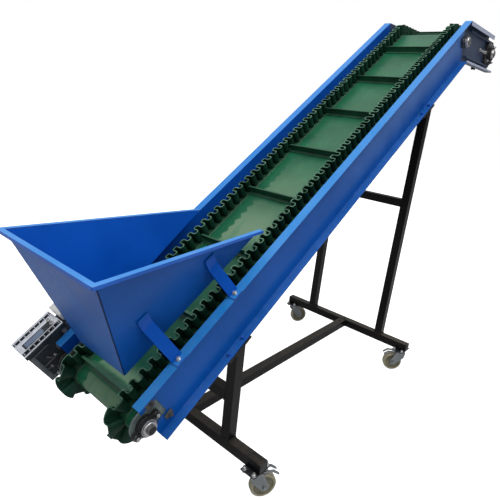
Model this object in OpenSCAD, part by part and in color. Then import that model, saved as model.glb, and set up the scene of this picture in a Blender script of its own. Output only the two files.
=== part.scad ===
// Portable inclined belt conveyor with a corrugated sidewall belt
// X runs toward the discharge end, Z is up, the origin is on the floor under the middle.
// All sizes are in millimetres.

/* [View] */
// Which piece is drawn

/* [Incline and rails] */
// Slope of the belt in degrees
incline = 34; // [26:1:40]
// Length of a side rail along its top flange
rail_l = 2400; // [1900:50:3000]
// Depth of a side rail, square to the slope
rail_h = 190; // [180:2:220]
// Width of the turned out rail flanges
flange_w = 35; // [25:1:50]
// Thickness of the folded rail sheet
sheet = 4; // [3:0.5:6]
// Clear width between the two rails
inner_w = 410; // [390:10:520]
// Height of the rails' low end above the floor
low_z = 504; // [460:4:560]

/* [Discharge end] */
// Length of the level frame past the bend
head_l = 545; // [480:5:700]
// Length of the corner cut off its top flange
head_cut = 95; // [85:1:110]
// Distance from the head drum to the frame's end
head_back = 75; // [62:1:80]
// Height of the folded lip on its flanges
head_lip = 20; // [12:1:26]

/* [Belt] */
// Gap between the belt and a rail
belt_gap = 20; // [12:1:30]
// Belt thickness
belt_t = 4; // [3:0.5:6]
// Radius of the three belt drums
drum_r = 31; // [26:1:34]
// Radius of the stub rollers at the return bend
stub_r = 20; // [14:1:24]
// Gap between a sidewall and the belt's edge
wall_edge = 25; // [20:1:36]
// Width of the corrugation
wall_band = 33; // [20:1:40]
// Height of the sidewalls
wall_h = 55; // [40:1:58]
// Wall thickness of the corrugation
wall_t = 5; // [4:0.5:8]
// Wanted length of one corrugation
wave_l = 41; // [32:1:60]
// Height of the cleats
cleat_h = 34; // [20:1:44]
// Wanted distance between cleats
cleat_gap = 301; // [220:1:420]
// Distance of the first cleat above the tail drum
cleat_start = 35; // [10:5:200]

/* [Hopper] */
// Height of the hopper rim above the floor
rim_z = 930; // [860:5:980]
// Distance of the rim in front of the rails' low end
rim_x = 133; // [80:1:180]
// How far the front of the rim stands out past the rails' inner faces
rim_over = 40; // [10:1:90]
// How far the tips stand inside the sidewalls' outer faces
tip_in = 8; // [2:1:14]
// How far the bottom edge stands inside the sidewalls
foot_in = 4; // [2:1:20]
// Height of the bottom edge above the rails, at the front
foot_n = 23; // [15:1:40]
// Distance of the bottom edge from the rails' low end
foot_s = 53; // [30:1:90]
// Height of the plates above the rails, at the tips
tip_n = 44; // [30:1:60]
// Plate thickness
plate_t = 3; // [2:0.5:5]
// Width of the folded rim
lip_w = 18; // [10:1:30]
// Drop of the folded rim
lip_d = 10; // [6:1:20]
// Width of a brace
brace_w = 40; // [25:1:50]
// Thickness of a brace
brace_t = 4; // [3:0.5:8]

/* [Stand] */
// Side of the square tubes
tube = 40; // [36:1:50]
// Wall of the square tubes
tube_t = 2.5; // [2:0.5:4]
// Middle of the front base bar, past the low end
front_x = 411; // [330:1:520]
// Middle of the rear base bar, past the low end
rear_x = 1656; // [1400:1:1800]
// Length of a base bar
base_l = 798; // [680:2:1000]
// Height of the front crossbar's top above the floor
front_cross_z = 372; // [300:1:420]
// Height of the rear crossbar's top above the floor
rear_cross_z = 945; // [500:1:1200]

/* [Casters] */
// Diameter of a wheel
wheel_d = 100; // [75:1:125]
// Width of a wheel
wheel_w = 32; // [24:1:40]
// Full height of a caster
caster_h = 130; // [120:1:160]
// Distance from swivel axis to axle
trail = 34; // [20:1:45]
// Distance of a swivel axis from the end of its base bar
caster_in = 34; // [25:1:70]

/* [Drive] */
// Length of the gearbox along the slope
gear_l = 153; // [120:1:180]
// Height of the gearbox square to the slope
gear_h = 185; // [160:1:220]
// Width of the gearbox
gear_w = 100; // [80:1:130]
// Radius of the motor body
motor_r = 54; // [40:1:56]
// Length of the motor body
motor_l = 190; // [140:5:260]
// Number of cooling ribs on the motor
ribs = 24; // [12:1:30]
// Radius of the drum shafts
shaft_r = 15; // [10:0.5:17]

/* [Bearings] */
// Side of the square head bearings
head_brg = 114; // [96:2:130]
// Bolt spacing of the knee bearings
knee_brg = 76; // [72:2:96]
// Bolt spacing of the tail bearing
tail_brg = 84; // [76:2:100]
// Length of the tail plates behind the drum
tail_plate_l = 150; // [110:5:200]

/* [Hidden] */
half_w = inner_w / 2;
rail_out = half_w + flange_w;
wide = 3 * inner_w;
belt_w = inner_w - 2 * belt_gap;
wall_out = belt_w / 2 - wall_edge;
wall_in = wall_out - wall_band;
rim_y = half_w + rim_over;
tip_y = wall_out - tip_in;
foot_y = wall_in - foot_in;
head_c = head_l - head_back;
head_top_l = head_l - head_cut;
web_out = half_w + sheet;
mid_n = -rail_h / 2;
tail_s = -10;
run_in = 0.05;
knee_x = rail_l * cos(incline);
knee_z = low_z + rail_l * sin(incline);
half_bend = incline / 2;
wall_mid = (wall_in + wall_out) / 2;
wall_amp = (wall_out - wall_in - wall_t) / 2;
belt_r = drum_r + belt_t;
seat = 0.3;
bend_r = 176;
chute_gap = 120;
chute_in = 12;
notch_h = 80;
shaft_slot = 40;
tail_disc = 50;
plate_gap = 6;
pad_w = 24;
guide_t = 11;
guide_start = 90;
bed_t = 3;
tie_r = 17;
tie_wall = 3;
post_plate = 6;
plate_half = 60;
bolt_half = 38;
motor_neck = 16;
fan_l = 46;
boss_r = 62;
lid_h = 14;
box_l = 92;
box_w = 84;
box_h = 40;
flange_r = 46;
spigot_r = 36;
top_plate = [92, 64, 5];
race_r = 27;
fork_t = 3;
fork_gap = 7;
pin_r = 6;
axle_r = 5;
base_top = caster_h + tube;
post_y = half_w + tube / 2;
gear_y0 = rail_out + 10;
gear_mid_y = gear_y0 + gear_w / 2;
gear_s0 = tail_s - 83;
gear_n1 = 35;
motor_n = gear_n1 - 60;
x_front = -rim_x - lip_w;
x_rear = knee_x + head_c + belt_r + wall_h;
x_mid = (x_front + x_rear) / 2;

// Centres of the belt path in the side view, from the rails' low end
function side_pt(s, n) = [s * cos(incline) - n * sin(incline), low_z + s * sin(incline) + n * cos(incline)];
tail_c = side_pt(tail_s, mid_n);
knee_c = side_pt(rail_l + mid_n * tan(half_bend), mid_n);
head_cc = [knee_x + head_c, knee_z + mid_n];
bend_off = drum_r + belt_t + bend_r;
bend_c = knee_c + [bend_off * tan(half_bend), -bend_off];

// Belt path as arcs: centre, radius of the belt's outer face, first and last direction
arcs = [
    [tail_c, belt_r, 90 + incline, 270 + incline],
    [bend_c, -bend_r, 90 + incline, 90],
    [head_cc, belt_r, 270, 450],
    [knee_c, belt_r, 90, 90 + incline]
];
function dir(a) = [cos(a), sin(a)];
function arc_pt(k, a, r) = arcs[k][0] + dir(a) * (arcs[k][1] > 0 ? arcs[k][1] + r : bend_r - r);
function arc_len(k) = abs(arcs[k][3] - arcs[k][2]) * PI / 180 * abs(arcs[k][1]);
function line_len(k) = norm(arc_pt((k + 1) % 4, arcs[(k + 1) % 4][2], 0) - arc_pt(k, arcs[k][3], 0));
seg_len = [for (k = [0:3]) for (part = [0, 1]) part == 0 ? arc_len(k) : line_len(k)];
function sum_to(v, i) = i <= 0 ? 0 : v[i - 1] + sum_to(v, i - 1);
loop_len = sum_to(seg_len, 8);
function seg_at(d, i = 0) = (i >= 7 || d < sum_to(seg_len, i + 1)) ? i : seg_at(d, i + 1);
// Point at a height h over the belt and the direction pointing away from it
function on_belt(d, h) =
    let (i = seg_at(d), k = floor(i / 2), f = (d - sum_to(seg_len, i)) / seg_len[i], n = (k + 1) % 4)
    i % 2 == 0
    ? let (a = arcs[k][2] + f * (arcs[k][3] - arcs[k][2])) arc_pt(k, a, h)
    : arc_pt(k, arcs[k][3], h) * (1 - f) + arc_pt(n, arcs[n][2], h) * f;
function belt_dir(d) =
    let (i = seg_at(d), k = floor(i / 2), f = (d - sum_to(seg_len, i)) / seg_len[i])
    i % 2 == 0 ? arcs[k][2] + f * (arcs[k][3] - arcs[k][2]) : arcs[k][3];
function loop_line(r) = [
    for (k = [0:3]) let (steps = k % 2 == 0 ? 14 : k == 1 ? 10 : 6)
        for (j = [0:steps]) arc_pt(k, arcs[k][2] + (arcs[k][3] - arcs[k][2]) * j / steps, r)
];

waves = round(loop_len / wave_l);
cleats = round(loop_len / cleat_gap);
cleat_step = loop_len / cleats;

corners = [[-1, -1], [-1, 1], [1, -1], [1, 1]];

// Hopper corners as seen from the rails' low end
tip_s = (rim_z - low_z - tip_n * cos(incline)) / sin(incline);
tip_xz = side_pt(tip_s, tip_n);
foot_xz = side_pt(foot_s, foot_n);
foot_pt = [foot_xz[0], foot_y, foot_xz[1]];
under_rim = (plate_t + seat) / (rim_z - foot_pt[2]);
rim_pt = [-rim_x, rim_y, rim_z] * (1 - under_rim) + foot_pt * under_rim;
tip_pt = [tip_xz[0], tip_y, tip_xz[1]] * (1 - under_rim) + foot_pt * under_rim;
rim_turn = atan((rim_y - tip_y) / (rim_x + tip_xz[0]));
side_nrm = cross(tip_pt - rim_pt, foot_pt - rim_pt);
side_out = side_nrm / norm(side_nrm) * (side_nrm[1] > 0 ? 1 : -1);
front_nrm = cross([0, 1, 0], foot_pt - rim_pt);
front_out = front_nrm / norm(front_nrm) * (front_nrm[0] < 0 ? 1 : -1);
// Half width of the side plate's outer face at a place along and above the rails
function plate_y(s, n) =
    let (p = side_pt(s, n))
    rim_pt[1] + (plate_t - side_out[0] * (p[0] - rim_pt[0]) - side_out[2] * (p[1] - rim_pt[2])) / side_out[1];
// Inner face of a brace that lies on the plate
function brace_y(s, n) = max(plate_y(s - brace_w / 2, n), plate_y(s + brace_w / 2, n)) + seat;

// Braces: place along the rail, height of the top end
braces = [[180, 178], [452, 150]];
// Cross ties: place along the rail
ties = [330, 900, 1500, 2080];
// Casters: name, place along X, side, turn of the fork
casters = [
    ["front_near", front_x, -1, -30],
    ["front_far", front_x, 1, -150],
    ["rear_near", rear_x, -1, 128],
    ["rear_far", rear_x, 1, -35]
];

blue = [0.1, 0.35, 0.75];
dark = [0.12, 0.12, 0.13];
green = [0.15, 0.42, 0.3];
zinc = [0.7, 0.72, 0.74];
steel = [0.5, 0.52, 0.55];
cream = [0.75, 0.72, 0.62];

// Frames of reference
module site() translate([-x_mid, 0, 0]) children();
module slope() site() translate([0, 0, low_z]) rotate([0, -incline, 0]) children();
module level() site() translate([knee_x, 0, knee_z]) children();
// A side view outline drawn through the width from y0 to y1
module across(y0, y1) translate([0, y1, 0]) rotate([90, 0, 0]) linear_extrude(y1 - y0) children();
// A cross section drawn along the rail from s0 to s1
module along(s0, s1) translate([s0, 0, 0]) rotate([90, 0, 90]) linear_extrude(s1 - s0) children();

// Side rails
module rail_section(side) polygon([
    [side * half_w, 0], [side * rail_out, 0], [side * rail_out, -sheet], [side * web_out, -sheet],
    [side * web_out, sheet - rail_h], [side * rail_out, sheet - rail_h], [side * rail_out, -rail_h],
    [side * half_w, -rail_h]
]);
module rail(side) color(blue) slope() difference() {
    along(0, rail_l) rail_section(side);
    translate([rail_l, -wide / 2, 0]) rotate([0, half_bend, 0]) translate([0, 0, -2 * rail_h])
        cube([rail_h, wide, 3 * rail_h]);
    translate([0, side * (half_w + sheet / 2), mid_n]) cube([122, sheet + 2, notch_h], center = true);
    translate([rail_l, side * (half_w + sheet / 2), mid_n]) cube([120, sheet + 2, shaft_slot], center = true);
    for (b = braces) translate([b[0], side * (web_out + rail_out) / 2, -sheet - 1])
        cylinder(h = sheet + 2, r = 4.5, $fn = 24);
    for (x = [front_x, rear_x], d = [-1, 1]) translate([plate_s(x) + d * bolt_half, side * post_y, -rail_h - 1])
        cylinder(h = sheet + 2, r = 5.5, $fn = 24);
}
module rail_near() rail(-1);
module rail_far() rail(1);

// Level frame at the discharge end, with its take-up guides
module head_section(side, lip) {
    polygon([
        [side * half_w, 0], [side * rail_out, 0], [side * rail_out, -lip], [side * (rail_out - sheet), -lip],
        [side * (rail_out - sheet), -sheet], [side * web_out, -sheet], [side * web_out, sheet - rail_h],
        [side * (rail_out - sheet), sheet - rail_h], [side * (rail_out - sheet), lip / 2 - rail_h],
        [side * rail_out, lip / 2 - rail_h], [side * rail_out, -rail_h], [side * half_w, -rail_h]
    ]);
}
module head_frame(side) color(steel) level() {
    difference() {
        along(-80, head_l) head_section(side, head_lip);
        translate([seat, -wide / 2, 0]) rotate([0, -half_bend, 0]) translate([-rail_h, 0, -2 * rail_h])
            cube([rail_h, wide, 3 * rail_h]);
        translate([head_top_l, -wide / 2, -head_lip - 6]) cube([head_l, wide, 2 * head_lip]);
        for (x = [head_c - 10, 15]) translate([x, side * (half_w + sheet / 2), mid_n])
            cube([2 * head_back - 50, sheet + 2, shaft_slot], center = true);
        for (d = [-1, 1]) translate([head_l - chute_in, side * half_w, mid_n + d * chute_gap / 2])
            rotate([90, 0, 0]) cylinder(h = 20, r = 5.5, center = true, $fn = 24);
    }
    // Guides for the sliding head bearings, sunk 1 into the web
    for (d = [-1, 1]) translate([guide_start, side > 0 ? web_out - 1 : -web_out - guide_t - 1, 0])
        translate([0, 0, mid_n + d * (head_brg / 2 + guide_t / 2 + 0.5) - guide_t / 2])
            cube([head_l - guide_start - 2 * chute_in, guide_t + 2, guide_t]);
}
module head_frame_near() head_frame(-1);
module head_frame_far() head_frame(1);

// Ties between the rails and the plate the belt slides on
module cross_ties() color(dark) slope() {
    for (s = ties) translate([s, -half_w, mid_n]) rotate([-90, 0, 0]) difference() {
        cylinder(h = inner_w, r = tie_r, $fn = 32);
        translate([0, 0, -1]) cylinder(h = inner_w + 2, r = tie_r - tie_wall, $fn = 32);
    }
    // Pads that carry the bed plate
    for (s = ties) translate([s - pad_w / 2, -half_w, mid_n + 10]) 
        cube([pad_w, inner_w, drum_r - 10 - bed_t - 2 * seat]);
}
module bed_plate() color(steel) {
    slope_w = inner_w - 2 * (plate_gap + seat);
    slope() translate([60, -slope_w / 2, mid_n + drum_r - bed_t - seat]) cube([rail_l - 170, slope_w, bed_t]);
    level() translate([70, -half_w, mid_n + drum_r - bed_t - seat]) cube([head_c - 150, inner_w, bed_t]);
}

// Belt loop, cleats and corrugated sidewalls
module belt() color(green) site() across(-belt_w / 2, belt_w / 2) difference() {
    polygon(loop_line(0));
    polygon(loop_line(-belt_t));
}
module cleat_shape() polygon([
    [-14, -7], [16, -7], [16, 3], [5, 5], [3, cleat_h - 6], [7, cleat_h - 2], [6, cleat_h],
    [-3, cleat_h - 4], [-4, 5], [-14, 3]
]);
module belt_cleats() color(green) site() across(-wall_in, wall_in) difference() {
    for (i = [0:cleats - 1]) {
        d = (loop_len - cleat_start + i * cleat_step) % loop_len;
        translate(on_belt(d, 0)) rotate(belt_dir(d) - 90) mirror([1, 0]) cleat_shape();
    }
    polygon(loop_line(seat));
}
function on_drum(i) =
    let (k = seg_at(loop_len * (i % (2 * waves)) / (2 * waves)))
    k % 2 == 0 && k != 2;
// Places round the loop, counted in half waves, closer together on the drums
wall_steps = [
    for (i = [0:2 * waves - 1]) for (j = on_drum(i) || on_drum(i + 1) ? [0, 1, 2] : [0]) i + j / 3
];
module sidewall(side) {
    n = len(wall_steps);
    t = wall_t / 2;
    pts = [
        for (w = wall_steps)
            let (d = loop_len * w / (2 * waves), lo = on_belt(d, seat), hi = on_belt(d, wall_h))
            let (y = side * (wall_mid + wall_amp * (2 * abs((w % 2) - 1) - 1)))
            for (q = [[lo, -t], [lo, t], [hi, t], [hi, -t]]) [q[0][0], y + q[1], q[0][1]]
    ];
    faces = [
        for (i = [0:n - 1]) let (a = 4 * i, b = 4 * ((i + 1) % n))
            for (e = [[0, 1], [1, 2], [2, 3], [3, 0]])
                for (f = [[a + e[0], a + e[1], b + e[1]], [a + e[0], b + e[1], b + e[0]]]) f
    ];
    color(green) site() polyhedron(pts, faces);
}
module sidewall_near() sidewall(-1);
module sidewall_far() sidewall(1);

// Drums with their shafts: middle, shaft reach to the near side and to the far side
module drum(c, near, far) color(steel) site() translate([c[0], 0, c[1]]) rotate([-90, 0, 0]) {
    translate([0, 0, -belt_w / 2]) cylinder(h = belt_w, r = drum_r - seat, $fn = 48);
    translate([0, 0, -near]) cylinder(h = near + far, r = shaft_r, $fn = 32);
}
module tail_drum() drum(tail_c, web_out + 36, gear_y0 + gear_w + 8);
module knee_drum() drum(knee_c, web_out + 32, web_out + 32);
module head_drum() drum(head_cc, web_out + 46, web_out + 46);
// Stub rollers that hold the belt's edges down where it turns on its way back
module return_rollers() color(dark) site() for (side = [-1, 1], f = [0.1, 0.5, 0.9]) {
    c = bend_c + dir(90 + f * incline) * (bend_r - stub_r - 2 * seat);
    translate([c[0], 0, c[1]]) rotate([side > 0 ? -90 : 90, 0, 0]) {
        translate([0, 0, wall_out + 3]) cylinder(h = 20, r = stub_r, $fn = 40);
        translate([0, 0, wall_out + 10]) cylinder(h = half_w - wall_out - 10, r = 8, $fn = 24);
    }
}

// Bearings: a flange plate with its bolts and the round housing
module flange_bearing(r_house, deep, plate, reach) {
    difference() {
        union() {
            translate([0, 0, 0]) linear_extrude(plate) children();
            cylinder(h = deep, r = r_house, $fn = 48);
        }
        translate([0, 0, -1]) cylinder(h = deep + 2, r = shaft_r + run_in, $fn = 32);
    }
    translate([0, 0, deep]) difference() {
        cylinder(h = 8, r = shaft_r + 7, $fn = 32);
        translate([0, 0, -1]) cylinder(h = 10, r = shaft_r + run_in, $fn = 32);
    }
    for (p = reach) translate([p[0], p[1], plate]) cylinder(h = 9, r = 9, $fn = 6);
}
module outward(side) rotate([side > 0 ? -90 : 90, 0, 0]) children();
module tail_plates() color(zinc) slope() for (side = [-1, 1]) difference() {
    translate([tail_s, side * (half_w - plate_gap / 2), mid_n]) rotate([90, 0, 0])
        linear_extrude(plate_gap, center = true) union() {
            circle(r = tail_disc, $fn = 64);
            translate([0, -tail_disc]) square([tail_plate_l, 2 * tail_disc]);
        }
    translate([tail_s, 0, mid_n]) rotate([90, 0, 0])
        cylinder(h = 2 * inner_w, r = shaft_r + 3, center = true, $fn = 32);
}
module tail_bearing() color(dark) slope() translate([tail_s, -half_w, mid_n]) outward(-1)
    flange_bearing(30, 24, 12, [for (x = [-1, 1]) [x * tail_brg / 2, 0]]) union() {
        circle(r = 32, $fn = 48);
        square([tail_brg, 24], center = true);
        for (x = [-1, 1]) translate([x * tail_brg / 2, 0]) circle(r = 12, $fn = 32);
    }
module knee_bearings() color(steel) site() for (side = [-1, 1])
    translate([knee_c[0], side * web_out, knee_c[1]]) outward(side)
        flange_bearing(27, 22, 12, [for (x = [-1, 1]) [x * knee_brg / 2, 0]]) union() {
            circle(r = 30, $fn = 48);
            square([knee_brg, 22], center = true);
            for (x = [-1, 1]) translate([x * knee_brg / 2, 0]) circle(r = 11, $fn = 32);
        }
module head_bearings() color(dark) site() for (side = [-1, 1])
    translate([head_cc[0], side * web_out, head_cc[1]]) outward(side)
        flange_bearing(head_brg / 3, 34, 16, [for (c = corners) c * (head_brg / 2 - 15)]) difference() {
            square(head_brg, center = true);
            for (c = corners) translate(c * head_brg / 2) rotate(45) square(14, center = true);
        }

// Hopper
module prism(a, b) polyhedron(
    concat(a, b),
    concat(
        [[for (i = [0:len(a) - 1]) i]],
        [[for (i = [0:len(a) - 1]) 2 * len(a) - 1 - i]],
        [for (i = [0:len(a) - 1]) let (j = (i + 1) % len(a)) [i, i + len(a), j + len(a), j]]
    )
);
module hopper_front() color(blue) site() {
    a = [[for (p = [rim_pt, foot_pt]) p], [for (p = [foot_pt, rim_pt]) [p[0], -p[1], p[2]]]];
    inner = [a[0][0], a[0][1], a[1][0], a[1][1]];
    prism([for (p = inner) p + front_out * plate_t], inner);
}
module hopper_side(side) color(blue) site() {
    inner = side > 0 ? [rim_pt, tip_pt, foot_pt] : [for (p = [rim_pt, foot_pt, tip_pt]) [p[0], -p[1], p[2]]];
    off = side > 0 ? side_out * plate_t : [side_out[0], -side_out[1], side_out[2]] * plate_t;
    prism([for (p = inner) p + off], inner);
}
module hopper_side_near() hopper_side(-1);
module hopper_side_far() hopper_side(1);
module lip_section() polygon([
    [0, 0], [lip_w, 0], [lip_w, -lip_d], [lip_w - plate_t, -lip_d], [lip_w - plate_t, -plate_t], [0, -plate_t]
]);
module hopper_rim() color(blue) site() {
    long = norm([rim_x + tip_xz[0], rim_y - tip_y]);
    front_l = rim_y + lip_w - 2;
    translate([-rim_x, 0, rim_z]) rotate([90, 0, 0]) translate([0, 0, -front_l]) mirror([1, 0, 0])
        linear_extrude(2 * front_l) lip_section();
    for (side = [-1, 1]) intersection() {
        translate([-rim_x, side * rim_y, rim_z]) rotate([0, 0, -side * rim_turn]) translate([-30, 0, 0])
            rotate([90, 0, 90]) linear_extrude(long + 30)
                mirror([side > 0 ? 0 : 1, 0]) lip_section();
        translate([-rim_x - lip_w + 1, -rim_y - 60, rim_z - 60]) cube([long + 40, 2 * rim_y + 120, 80]);
    }
}
module brace(side) color(blue) slope() for (b = braces) difference() {
    up = b[1] + 6;
    down = b[1] - 34;
    translate([b[0] - brace_w / 2, 0, 0]) rotate([90, 0, 90]) linear_extrude(brace_w) polygon([
        [side * rail_out, 0], [side * rail_out, brace_t], [side * (half_w + 14), brace_t],
        [side * (brace_y(b[0], down) + brace_t + 6), down], [side * (brace_y(b[0], up) + brace_t), up],
        [side * brace_y(b[0], up), up], [side * brace_y(b[0], down), down],
        [side * (half_w + 10), 0]
    ]);
    translate([b[0], side * (web_out + rail_out) / 2, -1]) cylinder(h = brace_t + 2, r = 4.5, $fn = 24);
}
module brace_near() brace(-1);
module brace_far() brace(1);

// Drive on the far side of the tail drum
module gearbox() color(steel) slope() {
    difference() {
        union() {
            translate([gear_s0, gear_y0, gear_n1 - gear_h + 30]) cube([gear_l, gear_w, gear_h - 36]);
            translate([tail_s, gear_y0, mid_n]) rotate([-90, 0, 0]) cylinder(h = gear_w, r = boss_r, $fn = 64);
            translate([gear_s0 - 4, gear_y0 - 4, gear_n1 - lid_h]) cube([gear_l + 8, gear_w + 8, lid_h]);
        }
        translate([tail_s, gear_y0 - 5, mid_n]) rotate([-90, 0, 0])
            cylinder(h = gear_w + 10, r = shaft_r + run_in, $fn = 32);
        for (y = [gear_y0 + 8, gear_y0 + gear_w - 20], i = [0:6])
            translate([gear_s0 + 9 + i * 20, y, gear_n1 - 8]) cube([11, 12, 10]);
    }
    translate([gear_s0 + gear_l, gear_mid_y, motor_n]) rotate([0, 90, 0])
        cylinder(h = motor_neck, r = motor_r - 2, $fn = 48);
}
module gear_flange() color(dark) slope() translate([tail_s, half_w, mid_n]) rotate([-90, 0, 0]) difference() {
    union() {
        translate([0, 0, sheet + seat]) cylinder(h = 12, r = flange_r, $fn = 48);
        translate([0, 0, seat]) cylinder(h = gear_y0 - half_w - seat, r = spigot_r, $fn = 48);
    }
    translate([0, 0, -1]) cylinder(h = gear_y0 - half_w + 2, r = shaft_r + run_in, $fn = 32);
}
module at_motor(d) slope() translate([gear_s0 + gear_l + d, gear_mid_y, motor_n]) rotate([0, 90, 0]) children();
module motor() color(steel) at_motor(motor_neck) {
    // Each rib: radius and angle of its four corners
    rib = [[motor_r - 8, -3.4], [motor_r - 2, -1.8], [motor_r - 2, 1.8], [motor_r - 8, 3.4]];
    linear_extrude(motor_l) polygon([for (i = [0:ribs - 1], q = rib) q[0] * dir(i * 360 / ribs + q[1])]);
    cylinder(h = 10, r = motor_r, $fn = 48);
}
module fan_cover() color(dark) at_motor(motor_neck + motor_l) difference() {
    cylinder(h = fan_l, r = motor_r, $fn = 48);
    // Rings of air holes: radius and number
    for (q = [[14, 3], [24, 6], [36, 10], [46, 12]], i = [0:q[1] - 1]) rotate(i * 360 / q[1])
        translate([q[0], 0, fan_l - 6]) cylinder(h = 8, r = 4, $fn = 16);
}
module terminal_box() color(zinc) slope() difference() {
    translate([gear_s0 + gear_l + 40, gear_mid_y - box_w / 2, motor_n + motor_r - 2 + seat])
        cube([box_l, box_w, box_h]);
    // Groove under the lid
    translate([gear_s0 + gear_l + 39, gear_mid_y - box_w / 2 - 1, motor_n + motor_r + 24]) difference() {
        cube([box_l + 2, box_w + 2, 3]);
        translate([3, 3, -1]) cube([box_l - 4, box_w - 4, 5]);
    }
}

// Stand of square tubes
module tube_along_y(l) rotate([90, 0, 0]) linear_extrude(l, center = true) difference() {
    square(tube, center = true);
    square(tube - 2 * tube_t, center = true);
}
function plate_s(x) = (x + (mid_n * 2 - post_plate) * sin(incline)) / cos(incline);
module base_bar(x) color(dark) site() difference() {
    translate([x, 0, base_top - tube / 2]) tube_along_y(base_l);
    translate([x, 0, base_top - tube - 1]) cylinder(h = tube + 2, r = 6.5, $fn = 32);
}
module front_base_bar() base_bar(front_x);
module rear_base_bar() base_bar(rear_x);
module post_pair(x) color(dark) for (side = [-1, 1]) difference() {
    site() translate([x, side * post_y, base_top]) linear_extrude(knee_z) difference() {
        square(tube, center = true);
        square(tube - 2 * tube_t, center = true);
    }
    slope() translate([-rail_l, -inner_w, -rail_h - post_plate]) cube([3 * rail_l, 2 * inner_w, 2 * rail_l]);
}
module front_posts() post_pair(front_x);
module rear_posts() post_pair(rear_x);
module crossbar(x, z) color(dark) site() translate([x, 0, z - tube / 2]) tube_along_y(2 * (post_y - tube / 2));
module front_crossbar() crossbar(front_x, front_cross_z);
module rear_crossbar() crossbar(rear_x, rear_cross_z);
module long_bar() color(dark) site() difference() {
    translate([front_x + tube / 2, 0, base_top - tube / 2]) rotate([90, 0, 90])
        linear_extrude(rear_x - front_x - tube) difference() {
            square(tube, center = true);
            square(tube - 2 * tube_t, center = true);
        }
    for (x = [front_x + tube / 2 + 40, rear_x - tube / 2 - 40]) translate([x, 0, base_top - tube - 1])
        cylinder(h = tube + 2, r = 5.5, $fn = 32);
}
module post_plates() color(dark) slope() for (x = [front_x, rear_x], side = [-1, 1]) difference() {
    translate([plate_s(x) - plate_half, side > 0 ? half_w : -half_w - tube, -rail_h - post_plate])
        cube([2 * plate_half, tube, post_plate]);
    for (d = [-1, 1]) translate([plate_s(x) + d * bolt_half, side * post_y, -rail_h - post_plate - 1])
        cylinder(h = post_plate + 2, r = 5.5, $fn = 24);
}

// Casters
module caster_spot(c) site() translate([c[1], c[2] * (base_l / 2 - caster_in), 0]) children();
module caster_plates() color(zinc) for (c = casters) caster_spot(c) difference() {
    union() {
        translate([-top_plate[0] / 2, -top_plate[1] / 2, caster_h - top_plate[2]]) cube(top_plate);
        translate([0, 0, caster_h - 14]) cylinder(h = 9.5, r = race_r, $fn = 48);
    }
    for (x = [-36, 36], y = [-22, 22]) translate([x, y, caster_h - 6]) cylinder(h = 8, r = 4.5, $fn = 24);
    translate([0, 0, caster_h - 15]) cylinder(h = 16, r = pin_r, $fn = 32);
}
module fork(c) color(zinc) caster_spot(c) rotate(c[3]) {
    z_top = caster_h - 14.4;
    fork_out = wheel_w / 2 + fork_gap + fork_t / 2;
    difference() {
        union() {
            translate([0, 0, z_top - 10]) cylinder(h = 10, r = race_r, $fn = 48);
            translate([0, 0, z_top - 1]) cylinder(h = 14, r = pin_r - run_in, $fn = 32);
            for (s = [-1, 1]) translate([0, s * (wheel_w / 2 + fork_gap), 0]) rotate([90, 0, 0])
                linear_extrude(fork_t, center = true) polygon([
                    [-24, z_top], [24, z_top], [trail + 16, wheel_d / 2 + 8], [trail + 14, wheel_d / 2 - 10],
                    [trail - 10, wheel_d / 2 - 12], [-20, z_top - 30]
                ]);
            translate([-24, -fork_out, z_top - fork_t]) cube([48, 2 * fork_out, fork_t]);
        }
        translate([trail, 0, wheel_d / 2]) rotate([90, 0, 0]) {
            cylinder(h = 3 * wheel_w, r = axle_r + run_in, center = true, $fn = 32);
            cylinder(h = wheel_w + 9, r = wheel_d / 2 + 6, center = true, $fn = 64);
        }
    }
    for (s = [-1, 1]) translate([trail, s * fork_out, wheel_d / 2]) outward(s) difference() {
        cylinder(h = 6, r = 9, $fn = 6);
        translate([0, 0, -1]) cylinder(h = 5, r = axle_r + run_in, $fn = 32);
    }
    brake_lever(z_top);
}
module brake_lever(z_top) for (s = [-1, 1]) translate([0, s * 13, 0]) rotate([90, 0, 0])
    linear_extrude(7, center = true) polygon([
        [trail - 26, z_top - 7], [trail + 30, z_top - 9], [trail + 54, z_top - 26], [trail + 56, z_top - 20],
        [trail + 34, z_top - 2], [trail - 26, z_top - 1]
    ]);
module wheel(c) color(cream) caster_spot(c) rotate(c[3]) translate([trail, 0, wheel_d / 2]) rotate([90, 0, 0]) {
    difference() {
        cylinder(h = wheel_w, r = wheel_d / 2, center = true, $fn = 64);
        for (s = [-1, 1]) translate([0, 0, s * wheel_w / 2])
            cylinder(h = 14, r = wheel_d / 2 - 13, center = true, $fn = 48);
    }
    cylinder(h = wheel_w + 4, r = 14, center = true, $fn = 32);
    cylinder(h = wheel_w + 22, r = axle_r, center = true, $fn = 32);
}
module fork_front_near() fork(casters[0]);
module fork_front_far() fork(casters[1]);
module fork_rear_near() fork(casters[2]);
module fork_rear_far() fork(casters[3]);
module wheel_front_near() wheel(casters[0]);
module wheel_front_far() wheel(casters[1]);
module wheel_rear_near() wheel(casters[2]);
module wheel_rear_far() wheel(casters[3]);

rail_near();
rail_far();
head_frame_near();
head_frame_far();
cross_ties();
bed_plate();
belt();
belt_cleats();
sidewall_near();
sidewall_far();
tail_drum();
knee_drum();
head_drum();
return_rollers();
tail_plates();
tail_bearing();
knee_bearings();
head_bearings();
hopper_front();
hopper_side_near();
hopper_side_far();
hopper_rim();
brace_near();
brace_far();
gearbox();
gear_flange();
motor();
fan_cover();
terminal_box();
front_base_bar();
rear_base_bar();
front_posts();
rear_posts();
front_crossbar();
rear_crossbar();
long_bar();
post_plates();
caster_plates();
fork_front_near();
fork_front_far();
fork_rear_near();
fork_rear_far();
wheel_front_near();
wheel_front_far();
wheel_rear_near();
wheel_rear_far();
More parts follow.
